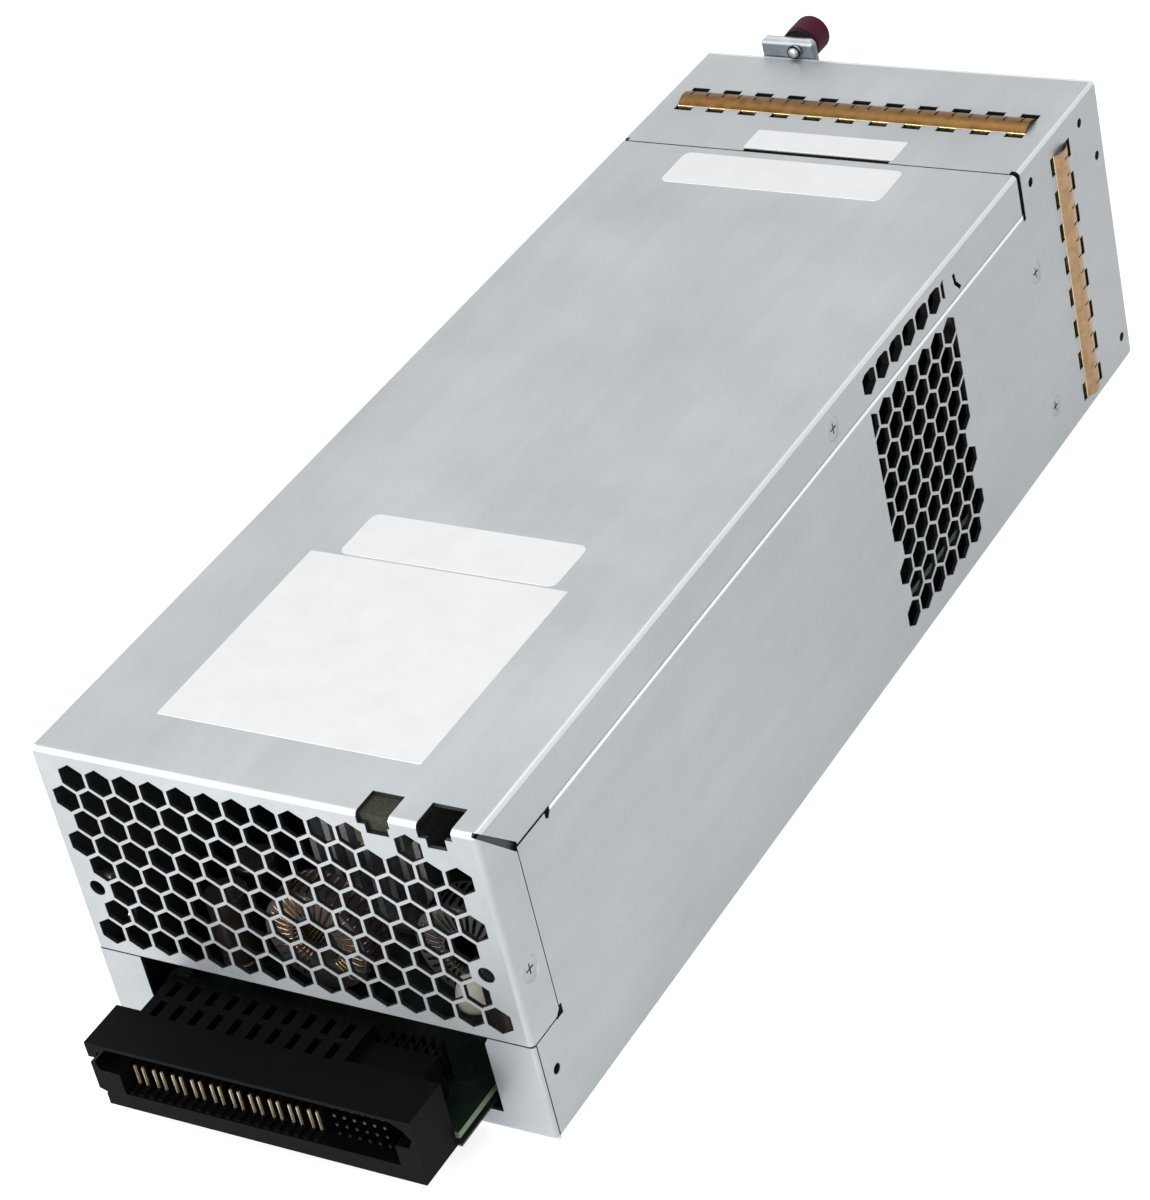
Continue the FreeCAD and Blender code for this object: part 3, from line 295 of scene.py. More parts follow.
def springBronze(name, axis, face, crownTones):
    # Copper-alloy spring strip: satin crown, with a painted highlight in brighter gold where the tabs go
    # into the sheet
    material, tree, shader = newMaterial(name)
    points = objectPoints(tree)
    height = parts(tree, points)["XYZ".index(axis)]
    sunk = spread(tree, height, 1, 0, face, face + 0.12 * mm)
    tarnish = noise(tree, points, 420, 4)
    crown = blendColours(tree, spread(tree, tarnish, 0, 1), *crownTones)
    # Painted highlight: brighter gold on the tabs below the sheet's face
    gold = blendColours(tree, spread(tree, tarnish, 0, 1), (0.78, 0.58, 0.26), (0.96, 0.78, 0.44))
    tree.links.new(blendColours(tree, sunk, crown, gold), shader.inputs["Base Color"])
    shader.inputs["Metallic"].default_value = 1.0
    tree.links.new(spread(tree, tarnish, 0.3, 0.44), shader.inputs["Roughness"])
    bump(tree, shader, noise(tree, points, 1800, 2), 0.00001, 0.3)
    return material


def mouldedPlastic(name, tone, rough=0.45, texture=1400, wear=1.35, gloss=0.5):
    # Moulded resin: fine eroded texture, tone drift and edges rubbed a little paler
    material, tree, shader = newMaterial(name)
    points = objectPoints(tree)
    drift = noise(tree, points, 90, 4)
    eroded = noise(tree, points, texture, 3)
    dark = tuple(c * 0.78 for c in tone)
    pale = tuple(min(1, c * wear + 0.004) for c in tone)
    colour = blendColours(tree, spread(tree, drift, 0, 1), dark, tone)
    colour = blendColours(tree, maths(tree, "MULTIPLY", wornEdges(tree, 0.0004), 0.6), colour, pale)
    tree.links.new(colour, shader.inputs["Base Color"])
    tree.links.new(spread(tree, eroded, rough - 0.06, rough + 0.08), shader.inputs["Roughness"])
    shader.inputs["Specular IOR Level"].default_value = gloss
    bump(tree, shader, eroded, 0.00003, 0.35)
    return material


def goldPlate(name, nodeName, finish):
    # Contact plating: pale gold on the mating ends, as far as the bright length, made paler than
    # its own tone as a painted highlight; painted shade, dark, on the flanks behind
    material, tree, shader = newMaterial(name)
    points = objectPoints(tree)
    wipe = noise(tree, objectPoints(tree, (1, 0.15, 1)), 900, 3)
    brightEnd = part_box(nodeName)[0].y + finish["brightLength"] * mm
    front = finish["front"]
    flank = finish["flank"]
    ends = maths(tree, "LESS_THAN", parts(tree, points)[1], brightEnd)
    bright = blendColours(tree, spread(tree, wipe, 0, 1), tuple(c * 0.85 for c in front), front)
    # Painted shade on the flanks
    flankShade = blendColours(tree, spread(tree, wipe, 0, 1), tuple(c * 0.6 for c in flank), flank)
    tree.links.new(blendColours(tree, ends, flankShade, bright), shader.inputs["Base Color"])
    shader.inputs["Metallic"].default_value = 0.8
    tree.links.new(spread(tree, wipe, 0.3, 0.42), shader.inputs["Roughness"])
    bump(tree, shader, wipe, 0.00001, 0.2)
    return material


def circuitBoard(name):
    # Dark green solder mask over copper runs, bare glass-fibre tone at the cut edges.
    # A run shows where the noise lies close to its middle value
    material, tree, shader = newMaterial(name)
    points = objectPoints(tree)
    field = noise(tree, points, 110, 1)
    apart = maths(tree, "ABSOLUTE", maths(tree, "SUBTRACT", field, 0.5), 0)
    runs = spread(tree, apart, 1, 0, 0.01, 0.02)
    mask = blendColours(tree, runs, (0.003, 0.011, 0.006), (0.007, 0.026, 0.013))
    flat = maths(tree, "GREATER_THAN", surfaceTurn(tree)[2], 0.7)
    fibre = blendColours(tree, noise(tree, points, 2500, 2), (0.12, 0.17, 0.1), (0.26, 0.33, 0.2))
    tree.links.new(blendColours(tree, flat, fibre, mask), shader.inputs["Base Color"])
    tree.links.new(spread(tree, noise(tree, points, 300), 0.34, 0.5), shader.inputs["Roughness"])
    shader.inputs["Specular IOR Level"].default_value = 0.3
    bump(tree, shader, runs, 0.00003, 0.4)
    return material


def canSleeve(name, tone):
    # Shrunk sleeve on the sides, bare aluminium on the flat top
    material, tree, shader = newMaterial(name)
    points = objectPoints(tree)
    place = tree.nodes.new("ShaderNodeTexCoord")
    isTop = maths(tree, "GREATER_THAN", parts(tree, place.outputs["Normal"])[2], 0.8)
    drift = noise(tree, points, 240, 3)
    sleeve = blendColours(tree, drift, tuple(c * 0.7 for c in tone), tone)
    lid = blendColours(tree, drift, (0.5, 0.5, 0.5), (0.72, 0.72, 0.7))
    tree.links.new(blendColours(tree, isTop, sleeve, lid), shader.inputs["Base Color"])
    tree.links.new(isTop, shader.inputs["Metallic"])
    tree.links.new(spread(tree, drift, 0.25, 0.4), shader.inputs["Roughness"])
    bump(tree, shader, noise(tree, points, 1500), 0.00002, 0.3)
    return material


def woundTape(name):
    # Polyester tape in close turns round the bobbin
    material, tree, shader = newMaterial(name)
    points = objectPoints(tree)
    turns = tree.nodes.new("ShaderNodeTexWave")
    turns.bands_direction = "Y"
    turns.inputs["Scale"].default_value = 90
    turns.inputs["Distortion"].default_value = 0.6
    tree.links.new(points, turns.inputs["Vector"])
    colour = blendColours(tree, turns.outputs["Fac"], (0.42, 0.3, 0.03), (0.66, 0.5, 0.08))
    tree.links.new(colour, shader.inputs["Base Color"])
    tree.links.new(spread(tree, noise(tree, points, 500), 0.25, 0.45), shader.inputs["Roughness"])
    bump(tree, shader, turns.outputs["Fac"], 0.00008, 0.4)
    return material


def sinteredFerrite(name):
    material, tree, shader = newMaterial(name)
    points = objectPoints(tree)
    grit = noise(tree, points, 1900, 5)
    colour = blendColours(tree, grit, (0.03, 0.03, 0.032), (0.085, 0.083, 0.08))
    tree.links.new(colour, shader.inputs["Base Color"])
    tree.links.new(spread(tree, grit, 0.5, 0.75), shader.inputs["Roughness"])
    bump(tree, shader, grit, 0.00005, 0.5)
    return material


def enamelledCopper(name, heatTones):
    material, tree, shader = newMaterial(name)
    points = objectPoints(tree)
    heat = noise(tree, points, 300, 3)
    colour = blendColours(tree, spread(tree, heat, 0, 1), *heatTones)
    tree.links.new(colour, shader.inputs["Base Color"])
    shader.inputs["Metallic"].default_value = 0.9
    shader.inputs["Coat Weight"].default_value = 0.6
    tree.links.new(spread(tree, heat, 0.2, 0.34), shader.inputs["Roughness"])
    bump(tree, shader, noise(tree, points, 2200), 0.00001, 0.2)
    return material


def extrudedAluminium(name):
    # Draw lines run along the fins
    material, tree, shader = newMaterial(name)
    lines = noise(tree, objectPoints(tree, (1, 0.02, 1)), 1500, 3)
    colour = blendColours(tree, spread(tree, lines, 0, 1), (0.46, 0.47, 0.48), (0.66, 0.67, 0.68))
    tree.links.new(colour, shader.inputs["Base Color"])
    shader.inputs["Metallic"].default_value = 0.9
    tree.links.new(spread(tree, lines, 0.32, 0.46), shader.inputs["Roughness"])
    bump(tree, shader, lines, 0.00003, 0.4)
    return material


def openFoam(name):
    material, tree, shader = newMaterial(name)
    points = objectPoints(tree)
    cells = tree.nodes.new("ShaderNodeTexVoronoi")
    cells.inputs["Scale"].default_value = 1300
    tree.links.new(points, cells.inputs["Vector"])
    drift = noise(tree, points, 220, 3)
    colour = blendColours(tree, spread(tree, drift, 0, 1), (0.011, 0.011, 0.006), (0.028, 0.028, 0.015))
    tree.links.new(colour, shader.inputs["Base Color"])
    tree.links.new(spread(tree, cells.outputs["Distance"], 0.7, 0.95, 0, 1), shader.inputs["Roughness"])
    bump(tree, shader, cells.outputs["Distance"], 0.0002, 0.7)
    return material


def labelStock(name):
    # Coated white label: faint fibre mottle and a satin face
    material, tree, shader = newMaterial(name)
    points = objectPoints(tree)
    mottle = noise(tree, points, 140, 4)
    colour = blendColours(tree, spread(tree, mottle, 0, 1), (0.83, 0.84, 0.845), (0.88, 0.89, 0.895))
    tree.links.new(colour, shader.inputs["Base Color"])
    tree.links.new(spread(tree, mottle, 0.42, 0.55), shader.inputs["Roughness"])
    bump(tree, shader, noise(tree, points, 1600, 2), 0.00001, 0.25)
    return material


def lampLens(name):
    material, tree, shader = newMaterial(name)
    points = objectPoints(tree)
    cloud = noise(tree, points, 900, 2)
    colour = blendColours(tree, cloud, (0.28, 0.5, 0.24), (0.5, 0.72, 0.42))
    tree.links.new(colour, shader.inputs["Base Color"])
    shader.inputs["Transmission Weight"].default_value = 0.4
    tree.links.new(spread(tree, cloud, 0.12, 0.25), shader.inputs["Roughness"])
    return material


def sheetFilm(name):
    material, tree, shader = newMaterial(name)
    points = objectPoints(tree)
    drift = noise(tree, points, 260, 4)
    colour = blendColours(tree, drift, (0.012, 0.012, 0.014), (0.045, 0.045, 0.05))
    tree.links.new(colour, shader.inputs["Base Color"])
    tree.links.new(spread(tree, drift, 0.3, 0.5), shader.inputs["Roughness"])
    bump(tree, shader, drift, 0.00005, 0.3)
    return material


panelLow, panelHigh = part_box("exterior_panel")
# One bronze in two sets of tones: the top strip's darker tones are painted shade
stripTones = {
    "top": ((0.13, 0.066, 0.02), (0.2, 0.11, 0.04)),
    "side": ((0.29, 0.185, 0.1), (0.44, 0.29, 0.165)),
}

# The second choke's near-black copper is painted shade
copperTones = {
    "bright": ((0.12, 0.062, 0.026), (0.42, 0.26, 0.13)),
    "paintedShade": ((0.014, 0.01, 0.007), (0.045, 0.03, 0.018)),
}
# The bright length is in millimetres from the mating end. The flank tones, and the pins'
# dark front tones, are painted shade
contacts = {
    "blades": {"brightLength": 0.45, "front": (0.78, 0.68, 0.46), "flank": (0.03, 0.024, 0.014)},
    "pins": {"brightLength": 0.3, "front": (0.085, 0.072, 0.047), "flank": (0.016, 0.013, 0.009)},
}

zinc = zincSheet("zincSheet", trayLow, trayHigh)
zincPanel = zincSheet("zincSheetPanel", panelLow, panelHigh, 0.95)
# Painted shade: a darker copy of the sheet for the bulkhead inside the body
zincShadedInside = zincSheet("zincSheetShadedInside", trayLow, trayHigh, 0.9)
steel = brightSteel("platedSteel")
screwZinc = brightSteel("screwZinc", (0.42, 0.43, 0.44), 0.34)
connectorResin = mouldedPlastic("connectorResin", (0.0026, 0.0029, 0.0036), 0.5, wear=1.5, gloss=0.045)
fanResin = mouldedPlastic("fanResin", (0.02, 0.02, 0.022), 0.4)
inletResin = mouldedPlastic("inletResin", (0.018, 0.018, 0.019), 0.48)
collarBlack = mouldedPlastic("collarBlack", (0.004, 0.004, 0.005), 0.5, gloss=0.1)
knobMaroon = mouldedPlastic("knobMaroon", (0.08, 0.0108, 0.032), 0.5, 1800, 1.4, 0.08)
transistorResin = mouldedPlastic("transistorResin", (0.03, 0.03, 0.032), 0.5)

finishes = {
    "chassis_tray": zinc,
    "top_cover": zinc,
    "exterior_panel": zincPanel,
    "fan_bulkhead": zincShadedInside,
    "gasket_top": springBronze("springBronzeTop", "Z", bodyTop, stripTones["top"]),
    "gasket_side": springBronze("springBronzeSide", "X", trayHigh.x, stripTones["side"]),
    "connector_housing": connectorResin,
    "power_blades": goldPlate("bladePlating", "power_blades", contacts["blades"]),
    "signal_pins": goldPlate("pinPlating", "signal_pins", contacts["pins"]),
    "main_board": circuitBoard("mainBoardMask"),
    "daughter_board": circuitBoard("cardMask"),
    "insulator_sheet": sheetFilm("insulatorFilm"),
    "board_standoffs": steel,
    "board_screws": steel,
    "output_heat_sink": extrudedAluminium("outputSink"),
    "primary_heat_sink": extrudedAluminium("primarySink"),
    "choke_cores": sinteredFerrite("chokeFerrite"),
    "choke_windings": enamelledCopper("chokeCopper", copperTones["bright"]),
    "filter_choke": sinteredFerrite("filterFerrite"),
    "bulk_capacitors": canSleeve("bulkSleeve", (0.02, 0.022, 0.03)),
    "output_capacitors": canSleeve("outputSleeve", (0.02, 0.015, 0.012)),
    "transformer_core": sinteredFerrite("transformerFerrite"),
    "transformer_winding": woundTape("windingTape"),
    "power_transistors": transistorResin,
    "foam_pad": openFoam("padFoam"),
    "fan_frame_lower": fanResin,
    "fan_frame_upper": fanResin,
    "fan_rotor_lower": fanResin,
    "fan_rotor_upper": fanResin,
    "fan_screws": steel,
    "ac_inlet": inletResin,
    "ac_inlet_pins": steel,
    "status_lamps": lampLens("lampLens"),
    "latch_lever": leverSteel("leverSteel"),
    "lever_bracket": leverSteel("bracketSteel"),
    "lever_pivot_pin": steel,
    "tab_collar": collarBlack,
    "thumbscrew_washer": collarBlack,
    "thumbscrew_stem": screwZinc,
    "retaining_clip": collarBlack,
    "thumbscrew_knob": knobMaroon,
    "cover_screws": screwZinc,
    "bulkhead_screws": screwZinc,
}
for nodeName, material in finishes.items():
    nodes[nodeName].data.materials.clear()
    nodes[nodeName].data.materials.append(material)
print("materials set on", len(finishes), "nodes")


# Helpers that build meshes

def makePiece(name, points, faces, material, body, smooth=True):
    mesh = bpy.data.meshes.new(name)
    mesh.from_pydata(points.reshape(-1, 3).tolist(), [], faces)
    mesh.materials.append(material)
    mesh.polygons.foreach_set("use_smooth", np.full(len(mesh.polygons), smooth))
    mesh.update()
    piece = bpy.data.objects.new(name, mesh)
    bpy.context.scene.collection.objects.link(piece)
    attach(piece, body)
    return piece


def gridFaces(rows, columns, wrapColumns=True, wrapRows=False):
    # Quads of a rows x columns grid of points, closed round where it wraps
    lastRow = rows if wrapRows else rows - 1
    lastColumn = columns if wrapColumns else columns - 1
    r, c = np.meshgrid(np.arange(lastRow), np.arange(lastColumn), indexing="ij")
    below = (r + 1) % rows
    beside = (c + 1) % columns
    quads = [r * columns + c, r * columns + beside, below * columns + beside, below * columns + c]
    return np.stack(quads, axis=-1).reshape(-1, 4).tolist()


def turned(name, profile, middle, material, body, ripple=None, sides=96):
    # Profile of (radius, distance along Y) turned about a Y axis through middle (x, z).
    # The first and last radius are zero, so both ends are closed. ripple(turn, radius, along)
    # gives the radius at each point.
    radius, along = np.array(profile, float).T
    turn = np.linspace(0, 2 * math.pi, sides, endpoint=False)
    r = np.repeat(radius[:, None], sides, axis=1)
    y = np.repeat(along[:, None], sides, axis=1)
    if ripple:
        r = ripple(turn[None, :], r, y)
    x = middle[0] + r * np.cos(turn)
    z = middle[1] + r * np.sin(turn)
    points = np.stack([x, y, z], axis=-1)
    faces = gridFaces(len(radius), sides)
    return makePiece(name, points, faces, material, body)


def closeUp(piece):
    # Merges the doubled points at poles and seams, then turns the faces outwards
    work = bmesh.new()
    work.from_mesh(piece.data)
    bmesh.ops.remove_doubles(work, verts=work.verts, dist=1e-7)
    bmesh.ops.recalc_face_normals(work, faces=work.faces)
    work.to_mesh(piece.data)
    work.free()
    return piece


# Labels on the cover and collar, in millimetres from the body's left side and connector end

labels = {
    "labelRating": {"left": 21.95, "right": 89.35, "near": 17.3, "far": 78.7, "corner": 0.5},
    "labelSerial": {"left": 28.85, "right": 85.45, "near": 79.3, "far": 95.0, "corner": 2.2},
    "labelBatch": {"left": 21.25, "right": 83.85, "near": 245.3, "far": 260.2, "corner": 2.2},
    "labelTest": {"left": 35.4, "right": 78.3, "near": 265.0, "far": 274.2, "corner": 0.5},
}
labelSheet = {"thickness": 0.09, "softEdge": 0.05, "cornerSteps": 8}


def makeLabel(name, size):
    # A rounded rectangle: each corner is a quarter circle, and rings of that outline,
    # drawn in by the soft edge, go from the sheet's face up to the label's face and to its middle
    left, right, near, far = (size[k] * mm for k in ("left", "right", "near", "far"))
    corner = size["corner"] * mm
    quarter = np.linspace(0, math.pi / 2, labelSheet["cornerSteps"])
    turn = (np.arange(4)[:, None] * math.pi / 2 + quarter).ravel()
    signX = np.repeat([1, -1, -1, 1], len(quarter))
    signY = np.repeat([1, 1, -1, -1], len(quarter))
    middleX = bodyLeft + (left + right) / 2
    middleY = bodyNear + (near + far) / 2
    halfX = (right - left) / 2
    halfY = (far - near) / 2
    rings = []
    thickness = labelSheet["thickness"] * mm
    soft = labelSheet["softEdge"] * mm
    steps = ((0, -0.01 * mm), (0, thickness - soft), (soft, thickness), (halfY * 0.5, thickness))
    for inset, height in steps:
        bend = max(corner - inset, 0.0001 * mm)
        x = middleX + signX * (halfX - inset - bend) + bend * np.cos(turn)
        y = middleY + signY * (halfY - inset - bend) + bend * np.sin(turn)
        rings.append(np.stack([x, y, np.full_like(x, bodyTop + height)], axis=-1))
    points = np.stack(rings)
    count = points.shape[1]
    faces = gridFaces(len(rings), count)
    faces.append(list(range((len(rings) - 1) * count, len(rings) * count)))
    faces.append(list(range(count))[::-1])
    piece = makePiece(name, points, faces, labelWhite, "module", smooth=False)
    return closeUp(piece)


labelWhite = labelStock("labelStock")
for name, size in labels.items():
    makeLabel(name, size)
print("labels:", len(labels))


# Captive thumbscrew: knurled knob and threaded stem, in millimetres

knobLow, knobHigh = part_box("thumbscrew_knob")
stemLow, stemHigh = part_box("thumbscrew_stem")
screwAxis = ((knobLow.x + knobHigh.x) / 2, (knobLow.z + knobHigh.z) / 2)
knob = {
    "knurls": 56,
    "knurlDepth": 0.08,
    "crown": 0.9,
    "rim": 0.8,
    "dish": 0.5,
    "dishRadius": 3.0,
    "dishFloor": 2.4,
    "inset": 0.005,
    "sides": 448,
}
thread = {"pitch": 0.5, "depth": 0.22, "length": 2.1, "lead": 0.3, "tipShare": 0.72, "steps": 10}


def makeKnob():
    # Turned profile with both rims rounded and a dished end. Its barrel is drawn in by
    # depth * (0.5 - 0.5 cos(knurls * turn)), faded out at both ends
    radius = (knobHigh.x - knobLow.x) / 2 - knob["inset"] * mm
    start = knobLow.y
    end = knobHigh.y
    crown = knob["crown"] * mm
    rim = knob["rim"] * mm
    arc = np.linspace(0, math.pi / 2, 9)
    barrel = np.linspace(start + rim, end - crown, 14)
    profile = [(0, start)]
    profile += [(radius - rim + rim * math.sin(a), start + rim - rim * math.cos(a)) for a in arc[:-1]]
    profile += [(radius, y) for y in barrel]
    profile += [(radius - crown + crown * math.cos(a), end - crown + crown * math.sin(a)) for a in arc[1:]]
    floor = end - knob["dish"] * mm
    profile += [(knob["dishRadius"] * mm, end), (knob["dishFloor"] * mm, floor), (0, floor)]
    depth = knob["knurlDepth"] * mm

    def knurl(turn, r, y):
        fade = np.clip((y - start - rim) / mm, 0, 1) * np.clip((end - 0.6 * mm - y) / (1.6 * mm), 0, 1)
        fade = fade * (r > 0.9 * radius)
        return r - depth * fade * (0.5 - 0.5 * np.cos(knob["knurls"] * turn))

    sides = knob["sides"]
    piece = turned("thumbscrewKnob", profile, screwAxis, knobMaroon, "thumbscrew", knurl, sides)
    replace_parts(closeUp(piece), "thumbscrew_knob")


def makeStem():
    # Radius falls by depth * |2 frac(along / pitch - turn / full turn) - 1| on the threaded
    # length, and is plain beyond it
    radius = (stemHigh.x - stemLow.x) / 2
    tip = stemLow.y
    pitch = thread["pitch"] * mm
    threadEnd = tip + thread["length"] * mm
    along = np.arange(tip + thread["lead"] * mm, threadEnd, pitch / thread["steps"])
    profile = [(0, tip), (radius * thread["tipShare"], tip)]
    profile += [(radius, y) for y in along]
    profile += [(radius, threadEnd), (radius, stemHigh.y), (0, stemHigh.y)]

    def helix(turn, r, y):
        share = (y - tip) / pitch - turn / (2 * math.pi)
        wedge = np.abs(2 * (share - np.floor(share)) - 1)
        threaded = (y > tip + 0.2 * mm) & (y < threadEnd - 0.1 * mm)
        return np.where(threaded, r - thread["depth"] * mm * wedge, r)

    piece = turned("thumbscrewStem", profile, screwAxis, screwZinc, "thumbscrew", helix, 48)
    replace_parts(closeUp(piece), "thumbscrew_stem")


makeKnob()
makeStem()
print("thumbscrew made")


# Choke windings: one wire wound round each ring core, in millimetres and degrees

coil = {
    "turns": 30,
    "wire": 0.8,
    "from": -62,
    "to": 242,
    "rim": 1.3,
    "ringWidth": 7.0,
    "pointsPerTurn": 24,
    "wireSides": 10,
}


def squared(value):
    return np.sign(value) * np.sqrt(np.abs(value))


def makeChokeWinding(name, low, high, copper):
    # The wire's centre runs round the ring's section as a rounded square,
    # (|cos|^0.5, |sin|^0.5), while it creeps round the ring from one angle to the other
    middle = (np.array(low) + np.array(high)) / 2
    outer = (high[0] - low[0]) / 2 - coil["rim"] * mm
    bore = outer - coil["ringWidth"] * mm
    halfWidth = (high[1] - low[1]) / 2 - coil["wire"] * mm
    centreZ = high[2] - outer - coil["rim"] * mm
    steps = coil["turns"] * coil["pointsPerTurn"] + 1
    share = np.linspace(0, 1, steps)
    ringTurn = np.radians(coil["from"] + (coil["to"] - coil["from"]) * share)
    wireTurn = 2 * math.pi * coil["turns"] * share
    reach = (outer - bore) / 2 + coil["wire"] * 0.5 * mm
    r = (outer + bore) / 2 + reach * squared(np.cos(wireTurn))
    path = np.stack([
        middle[0] + r * np.cos(ringTurn),
        middle[1] + halfWidth * squared(np.sin(wireTurn)),
        centreZ + r * np.sin(ringTurn),
    ], axis=-1)
    along = np.gradient(path, axis=0)
    along /= np.linalg.norm(along, axis=1, keepdims=True)
    around = np.stack([-np.sin(ringTurn), np.zeros(steps), np.cos(ringTurn)], axis=-1)
    across = np.cross(along, around)
    across /= np.linalg.norm(across, axis=1, keepdims=True)
    up = np.cross(across, along)
    spin = np.linspace(0, 2 * math.pi, coil["wireSides"], endpoint=False)
    wire = coil["wire"] * 0.5 * mm
    ring = np.cos(spin)[None, :, None] * across[:, None] + np.sin(spin)[None, :, None] * up[:, None]
    points = path[:, None] + wire * ring
    faces = gridFaces(steps, coil["wireSides"])
    faces.append(list(range(coil["wireSides"])))
    faces.append(list(range((steps - 1) * coil["wireSides"], steps * coil["wireSides"]))[::-1])
    return closeUp(makePiece(name, points, faces, copper, "module"))


def looseParts(nodeName, gap):
    # Boxes of a node's separate clusters along X
    vertices = nodes[nodeName].data.vertices
    flat = np.empty(len(vertices) * 3, np.float32)
    vertices.foreach_get("co", flat)
    points = flat.reshape(-1, 3).astype(float)
    points = points[np.argsort(points[:, 0])]
    cuts = np.where(np.diff(points[:, 0]) > gap)[0] + 1
    return [(part.min(0), part.max(0)) for part in np.split(points, cuts)]


coppers = [finishes["choke_windings"], enamelledCopper("chokeCopperPaintedShade", copperTones["paintedShade"])]
windings = []
for index, (low, high) in enumerate(looseParts("choke_windings", 4 * mm)):
    windings.append(makeChokeWinding("chokeWinding%d" % (index + 1), low, high, coppers[index]))
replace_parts(windings[0], "choke_windings")
print("choke windings:", len(windings))


# Fixing compound: a dab on the board behind the grille, in millimetres from the body's corner

compound = {"place": (80.4, 26.5), "radii": (6.4, 5.4, 7.4), "lumps": 0.07, "rows": 14, "sides": 36}


def makeCompound():
    # A dome: each radius times the cosine of the rise across and its sine upwards, swollen
    # by 1 + lumps * sin(3 turn + 2 rise). A pole at the foot closes it
    radii = np.array(compound["radii"]) * mm
    rise = np.linspace(0, math.pi / 2, compound["rows"])[:, None]
    turn = np.linspace(0, 2 * math.pi, compound["sides"], endpoint=False)[None, :]
    swell = 1 + compound["lumps"] * np.sin(3 * turn + 2 * rise) * np.cos(rise)
    x = radii[0] * np.cos(rise) * np.cos(turn) * swell
    y = radii[1] * np.cos(rise) * np.sin(turn) * swell
    z = radii[2] * np.sin(rise) + np.zeros_like(turn)
    dome = np.stack([x, y, z], axis=-1)
    points = np.concatenate([np.zeros((1, compound["sides"], 3)), dome])
    points[-1, :, :2] = 0
    foot = np.array([bodyLeft + compound["place"][0] * mm, bodyNear + compound["place"][1] * mm, boardTop])
    faces = gridFaces(compound["rows"] + 1, compound["sides"])
    return closeUp(makePiece("fixingCompound", points + foot, faces, compoundCream, "module"))


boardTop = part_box("main_board")[1].z
compoundCream = mouldedPlastic("compoundCream", (0.8, 0.76, 0.64), 0.5, wear=1.1)
makeCompound()
print("fixing compound made")


# Fan rotors: a cup with seven swept blades, in millimetres and degrees

rotor = {
    "blades": 7,
    "hubRadius": 8.5,
    "rootPitch": 52,
    "tipPitch": 34,
    "sweep": 16,
    "thickness": 0.9,
    "camber": 0.9,
    "tipTaper": 0.35,
    "depthShare": 0.62,
    "tipInset": 0.15,
    "rootSink": 0.4,
    "setBack": 0.4,
    "hubEdge": 0.5,
    "hubCrown": 1.8,
    "hubDish": (3.2, 3.0, 0.25),
    "rows": 10,
    "columns": 14,
}


def makeRotor(name, nodeName, body):
    # Each blade is a surface of two parameters: share of the span, and turn round its
    # aerofoil section, whose chord lies at a pitch that eases from root to tip
    low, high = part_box(nodeName)
    x = (low.x + high.x) / 2
    z = (low.z + high.z) / 2
    tip = (high.x - low.x) / 2 - rotor["tipInset"] * mm
    hub = rotor["hubRadius"] * mm
    edge = rotor["hubEdge"] * mm
    crown = rotor["hubCrown"] * mm
    dishRim, dishFloor, dishDepth = (size * mm for size in rotor["hubDish"])
    start = low.y
    end = high.y
    cupProfile = [(0, start), (hub - edge, start), (hub, start + edge), (hub, end - crown)]
    bend = np.linspace(0, math.pi / 2, 7)
    cupProfile += [(hub - crown * (1 - math.cos(a)), end - crown * (1 - math.sin(a))) for a in bend[1:]]
    cupProfile += [(dishRim, end), (dishFloor, end - dishDepth), (0, end - dishDepth)]
    cup = closeUp(turned(name + "Cup", cupProfile, (x, z), fanResin, body))
    span = np.linspace(0, 1, rotor["rows"])[:, None]
    section = np.linspace(0, 2 * math.pi, 2 * rotor["columns"], endpoint=False)[None, :]
    chordShare = 0.5 * np.cos(section)
    lift = 0.5 * rotor["thickness"] * mm * np.sin(section) * (1 - rotor["tipTaper"] * span)
    root = hub - rotor["rootSink"] * mm
    r = root + (tip - root) * span
    pitch = np.radians(rotor["rootPitch"] + (rotor["tipPitch"] - rotor["rootPitch"]) * span)
    depth = (end - start) * rotor["depthShare"]
    chord = depth / np.sin(pitch)
    camber = rotor["camber"] * mm * (1 - 4 * chordShare ** 2)
    forward = chord * chordShare * np.sin(pitch) + (lift + camber) * np.cos(pitch)
    sideways = chord * chordShare * np.cos(pitch) - (lift + camber) * np.sin(pitch)
    base = np.radians(rotor["sweep"]) * span + sideways / r
    bladeSets = []
    for k in range(rotor["blades"]):
        turn = base + 2 * math.pi * k / rotor["blades"]
        along = (start + end) / 2 - rotor["setBack"] * mm + forward
        bladeSets.append(np.stack([x + r * np.cos(turn), along, z + r * np.sin(turn)], axis=-1))
    rows, columns = bladeSets[0].shape[:2]
    faces = []
    for k in range(rotor["blades"]):
        offset = k * rows * columns
        faces += [[offset + corner for corner in quad] for quad in gridFaces(rows, columns)]
        faces.append([offset + c for c in range(columns)])
        faces.append([offset + (rows - 1) * columns + c for c in range(columns)][::-1])
    blades = closeUp(makePiece(name + "Blades", np.stack(bladeSets), faces, fanResin, body))
    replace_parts(cup, nodeName)
    return blades


makeRotor("fanLower", "fan_rotor_lower", "rotor_lower")
makeRotor("fanUpper", "fan_rotor_upper", "rotor_upper")
print("fan rotors made")


# Studio: pale floor, soft lights and camera, in metres and watts

studio = {
    "floorSize": 6.0,
    "floorDrop": 0.0002,
    "world": 0.34,
    "floorTone": 0.6,
    "floorGlow": 0.72,
    "keyLight": {"place": (-0.5, -1.9, 0.55), "aim": (0, -0.1, 0.04), "size": 1.2, "power": 37},
    "topLight": {"place": (-0.2, 0.3, 2.0), "aim": (0, 0, 0), "size": 1.6, "power": 17},
    "sideLight": {"place": (0.65, -0.6, 0.3), "aim": (0.05, -0.12, 0.04), "size": 0.5, "power": 1.7},
}


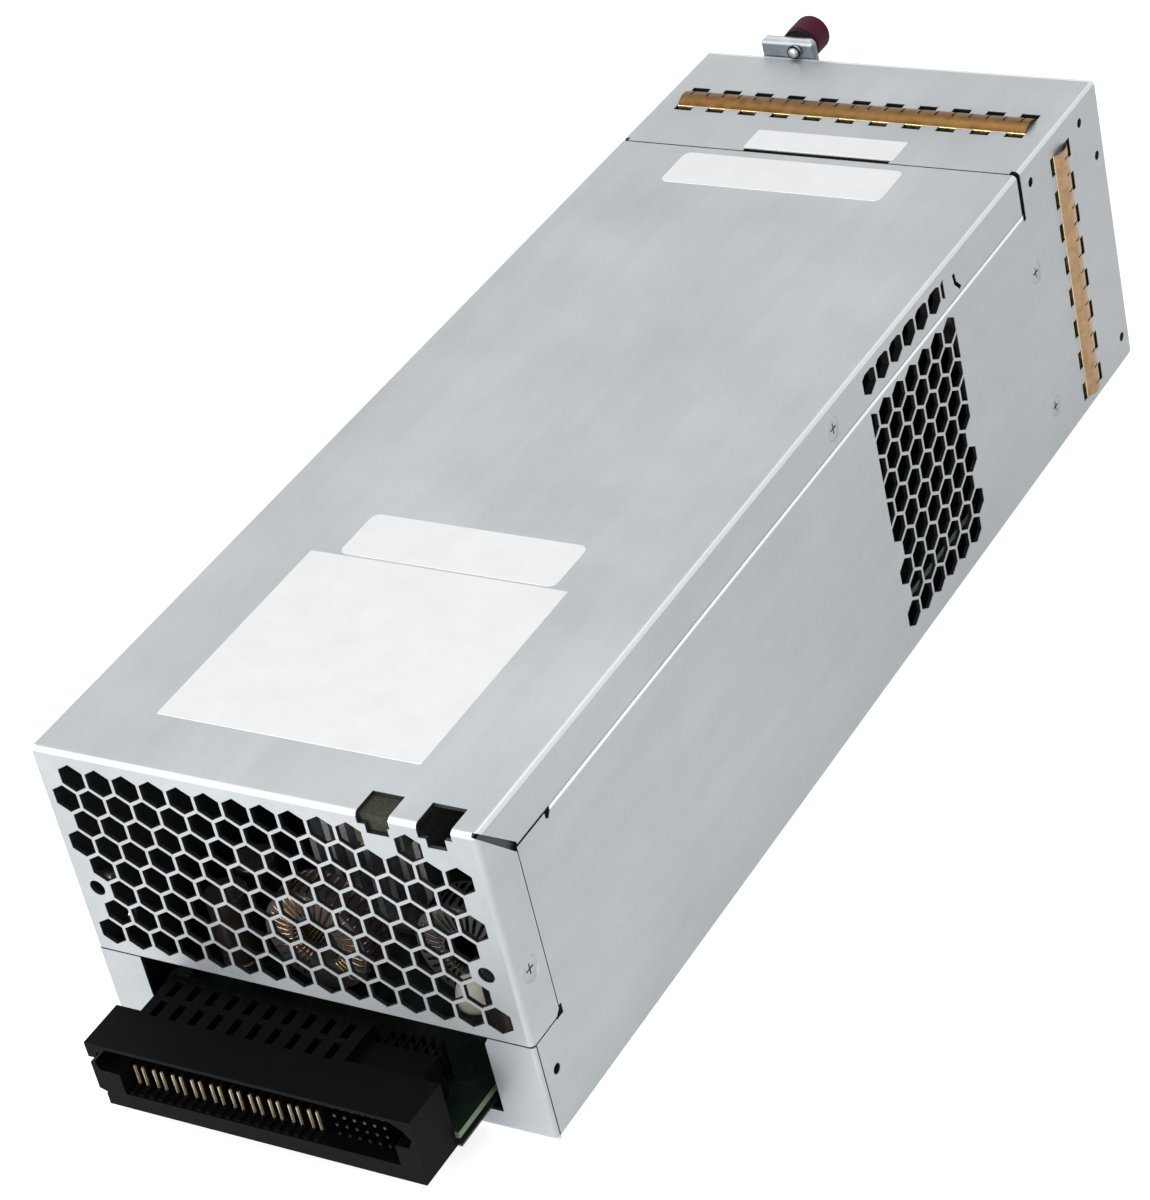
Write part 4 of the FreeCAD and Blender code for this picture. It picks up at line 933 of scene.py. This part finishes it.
def areaLight(name, setting):
    lamp = bpy.data.lights.new(name, "AREA")
    lamp.shape = "DISK"
    lamp.size = setting["size"]
    lamp.energy = setting["power"]
    holder = bpy.data.objects.new(name, lamp)
    holder.location = setting["place"]
    toward = np.array(setting["aim"]) - np.array(setting["place"])
    holder.rotation_euler = Vector(toward).to_track_quat("-Z", "Y").to_euler()
    bpy.context.scene.collection.objects.link(holder)


def seenRays(tree):
    # 1 on rays from the camera and on the mirror and glass rays that follow
    path = tree.nodes.new("ShaderNodeLightPath")
    both = maths(tree, "ADD", path.outputs["Is Camera Ray"], path.outputs["Is Glossy Ray"])
    return maths(tree, "MINIMUM", maths(tree, "ADD", both, path.outputs["Is Transmission Ray"]), 1)


def makeFloor():
    side = studio["floorSize"] / 2
    level = -studio["floorDrop"]
    corners = [(-side, -side, level), (side, -side, level), (side, side, level), (-side, side, level)]
    mesh = bpy.data.meshes.new("studioFloor")
    mesh.from_pydata(corners, [], [(0, 1, 2, 3)])
    floor = bpy.data.objects.new("studioFloor", mesh)
    bpy.context.scene.collection.objects.link(floor)
    material, tree, shader = newMaterial("floorPaper")
    shader.inputs["Base Color"].default_value = (*[studio["floorTone"]] * 3, 1)
    shader.inputs["Roughness"].default_value = 0.9
    shader.inputs["Specular IOR Level"].default_value = 0.0
    shader.inputs["Emission Color"].default_value = (1, 1, 1, 1)
    strength = maths(tree, "MULTIPLY", seenRays(tree), studio["floorGlow"])
    tree.links.new(strength, shader.inputs["Emission Strength"])
    mesh.materials.append(material)


def makeWorld():
    world = bpy.data.worlds.new("studioWorld")
    bpy.context.scene.world = world
    world.use_nodes = True
    tree = world.node_tree
    tree.nodes.clear()
    output = tree.nodes.new("ShaderNodeOutputWorld")
    background = tree.nodes.new("ShaderNodeBackground")
    background.inputs["Color"].default_value = (1, 1, 1, 1)
    seen = seenRays(tree)
    strength = spread(tree, seen, studio["world"], 1.0, 0, 1)
    tree.links.new(strength, background.inputs["Strength"])
    tree.links.new(background.outputs["Background"], output.inputs["Surface"])


camera = {
    "place": (429.94, -440.48, 515.29),
    "forward": (-0.49424, 0.6797, -0.54198),
    "up": (-0.12918, 0.5591, 0.81897),
    "lens": 109.92,
    "shift": (-0.0458, -0.0583),
}


def makeCamera():
    # The place is given from the middle of the body's connector-end foot, in millimetres
    lens = bpy.data.cameras.new("studioCamera")
    lens.sensor_width = 36
    lens.lens = camera["lens"]
    lens.shift_x, lens.shift_y = camera["shift"]
    lens.clip_start = 0.01
    lens.clip_end = 50
    holder = bpy.data.objects.new("studioCamera", lens)
    forward = Vector(camera["forward"]).normalized()
    up = Vector(camera["up"])
    up = (up - up.dot(forward) * forward).normalized()
    right = forward.cross(up)
    matrix = Matrix((right, up, -forward)).transposed().to_4x4()
    footMiddle = Vector(((coverLow.x + coverHigh.x) / 2, bodyNear, trayLow.z))
    matrix.translation = footMiddle + Vector(camera["place"]) * mm
    holder.matrix_world = matrix
    bpy.context.scene.collection.objects.link(holder)
    bpy.context.scene.camera = holder


for name in ("keyLight", "topLight", "sideLight"):
    areaLight(name, studio[name])
makeFloor()
makeWorld()
makeCamera()
bpy.context.scene.view_settings.view_transform = "Standard"
print("studio ready")
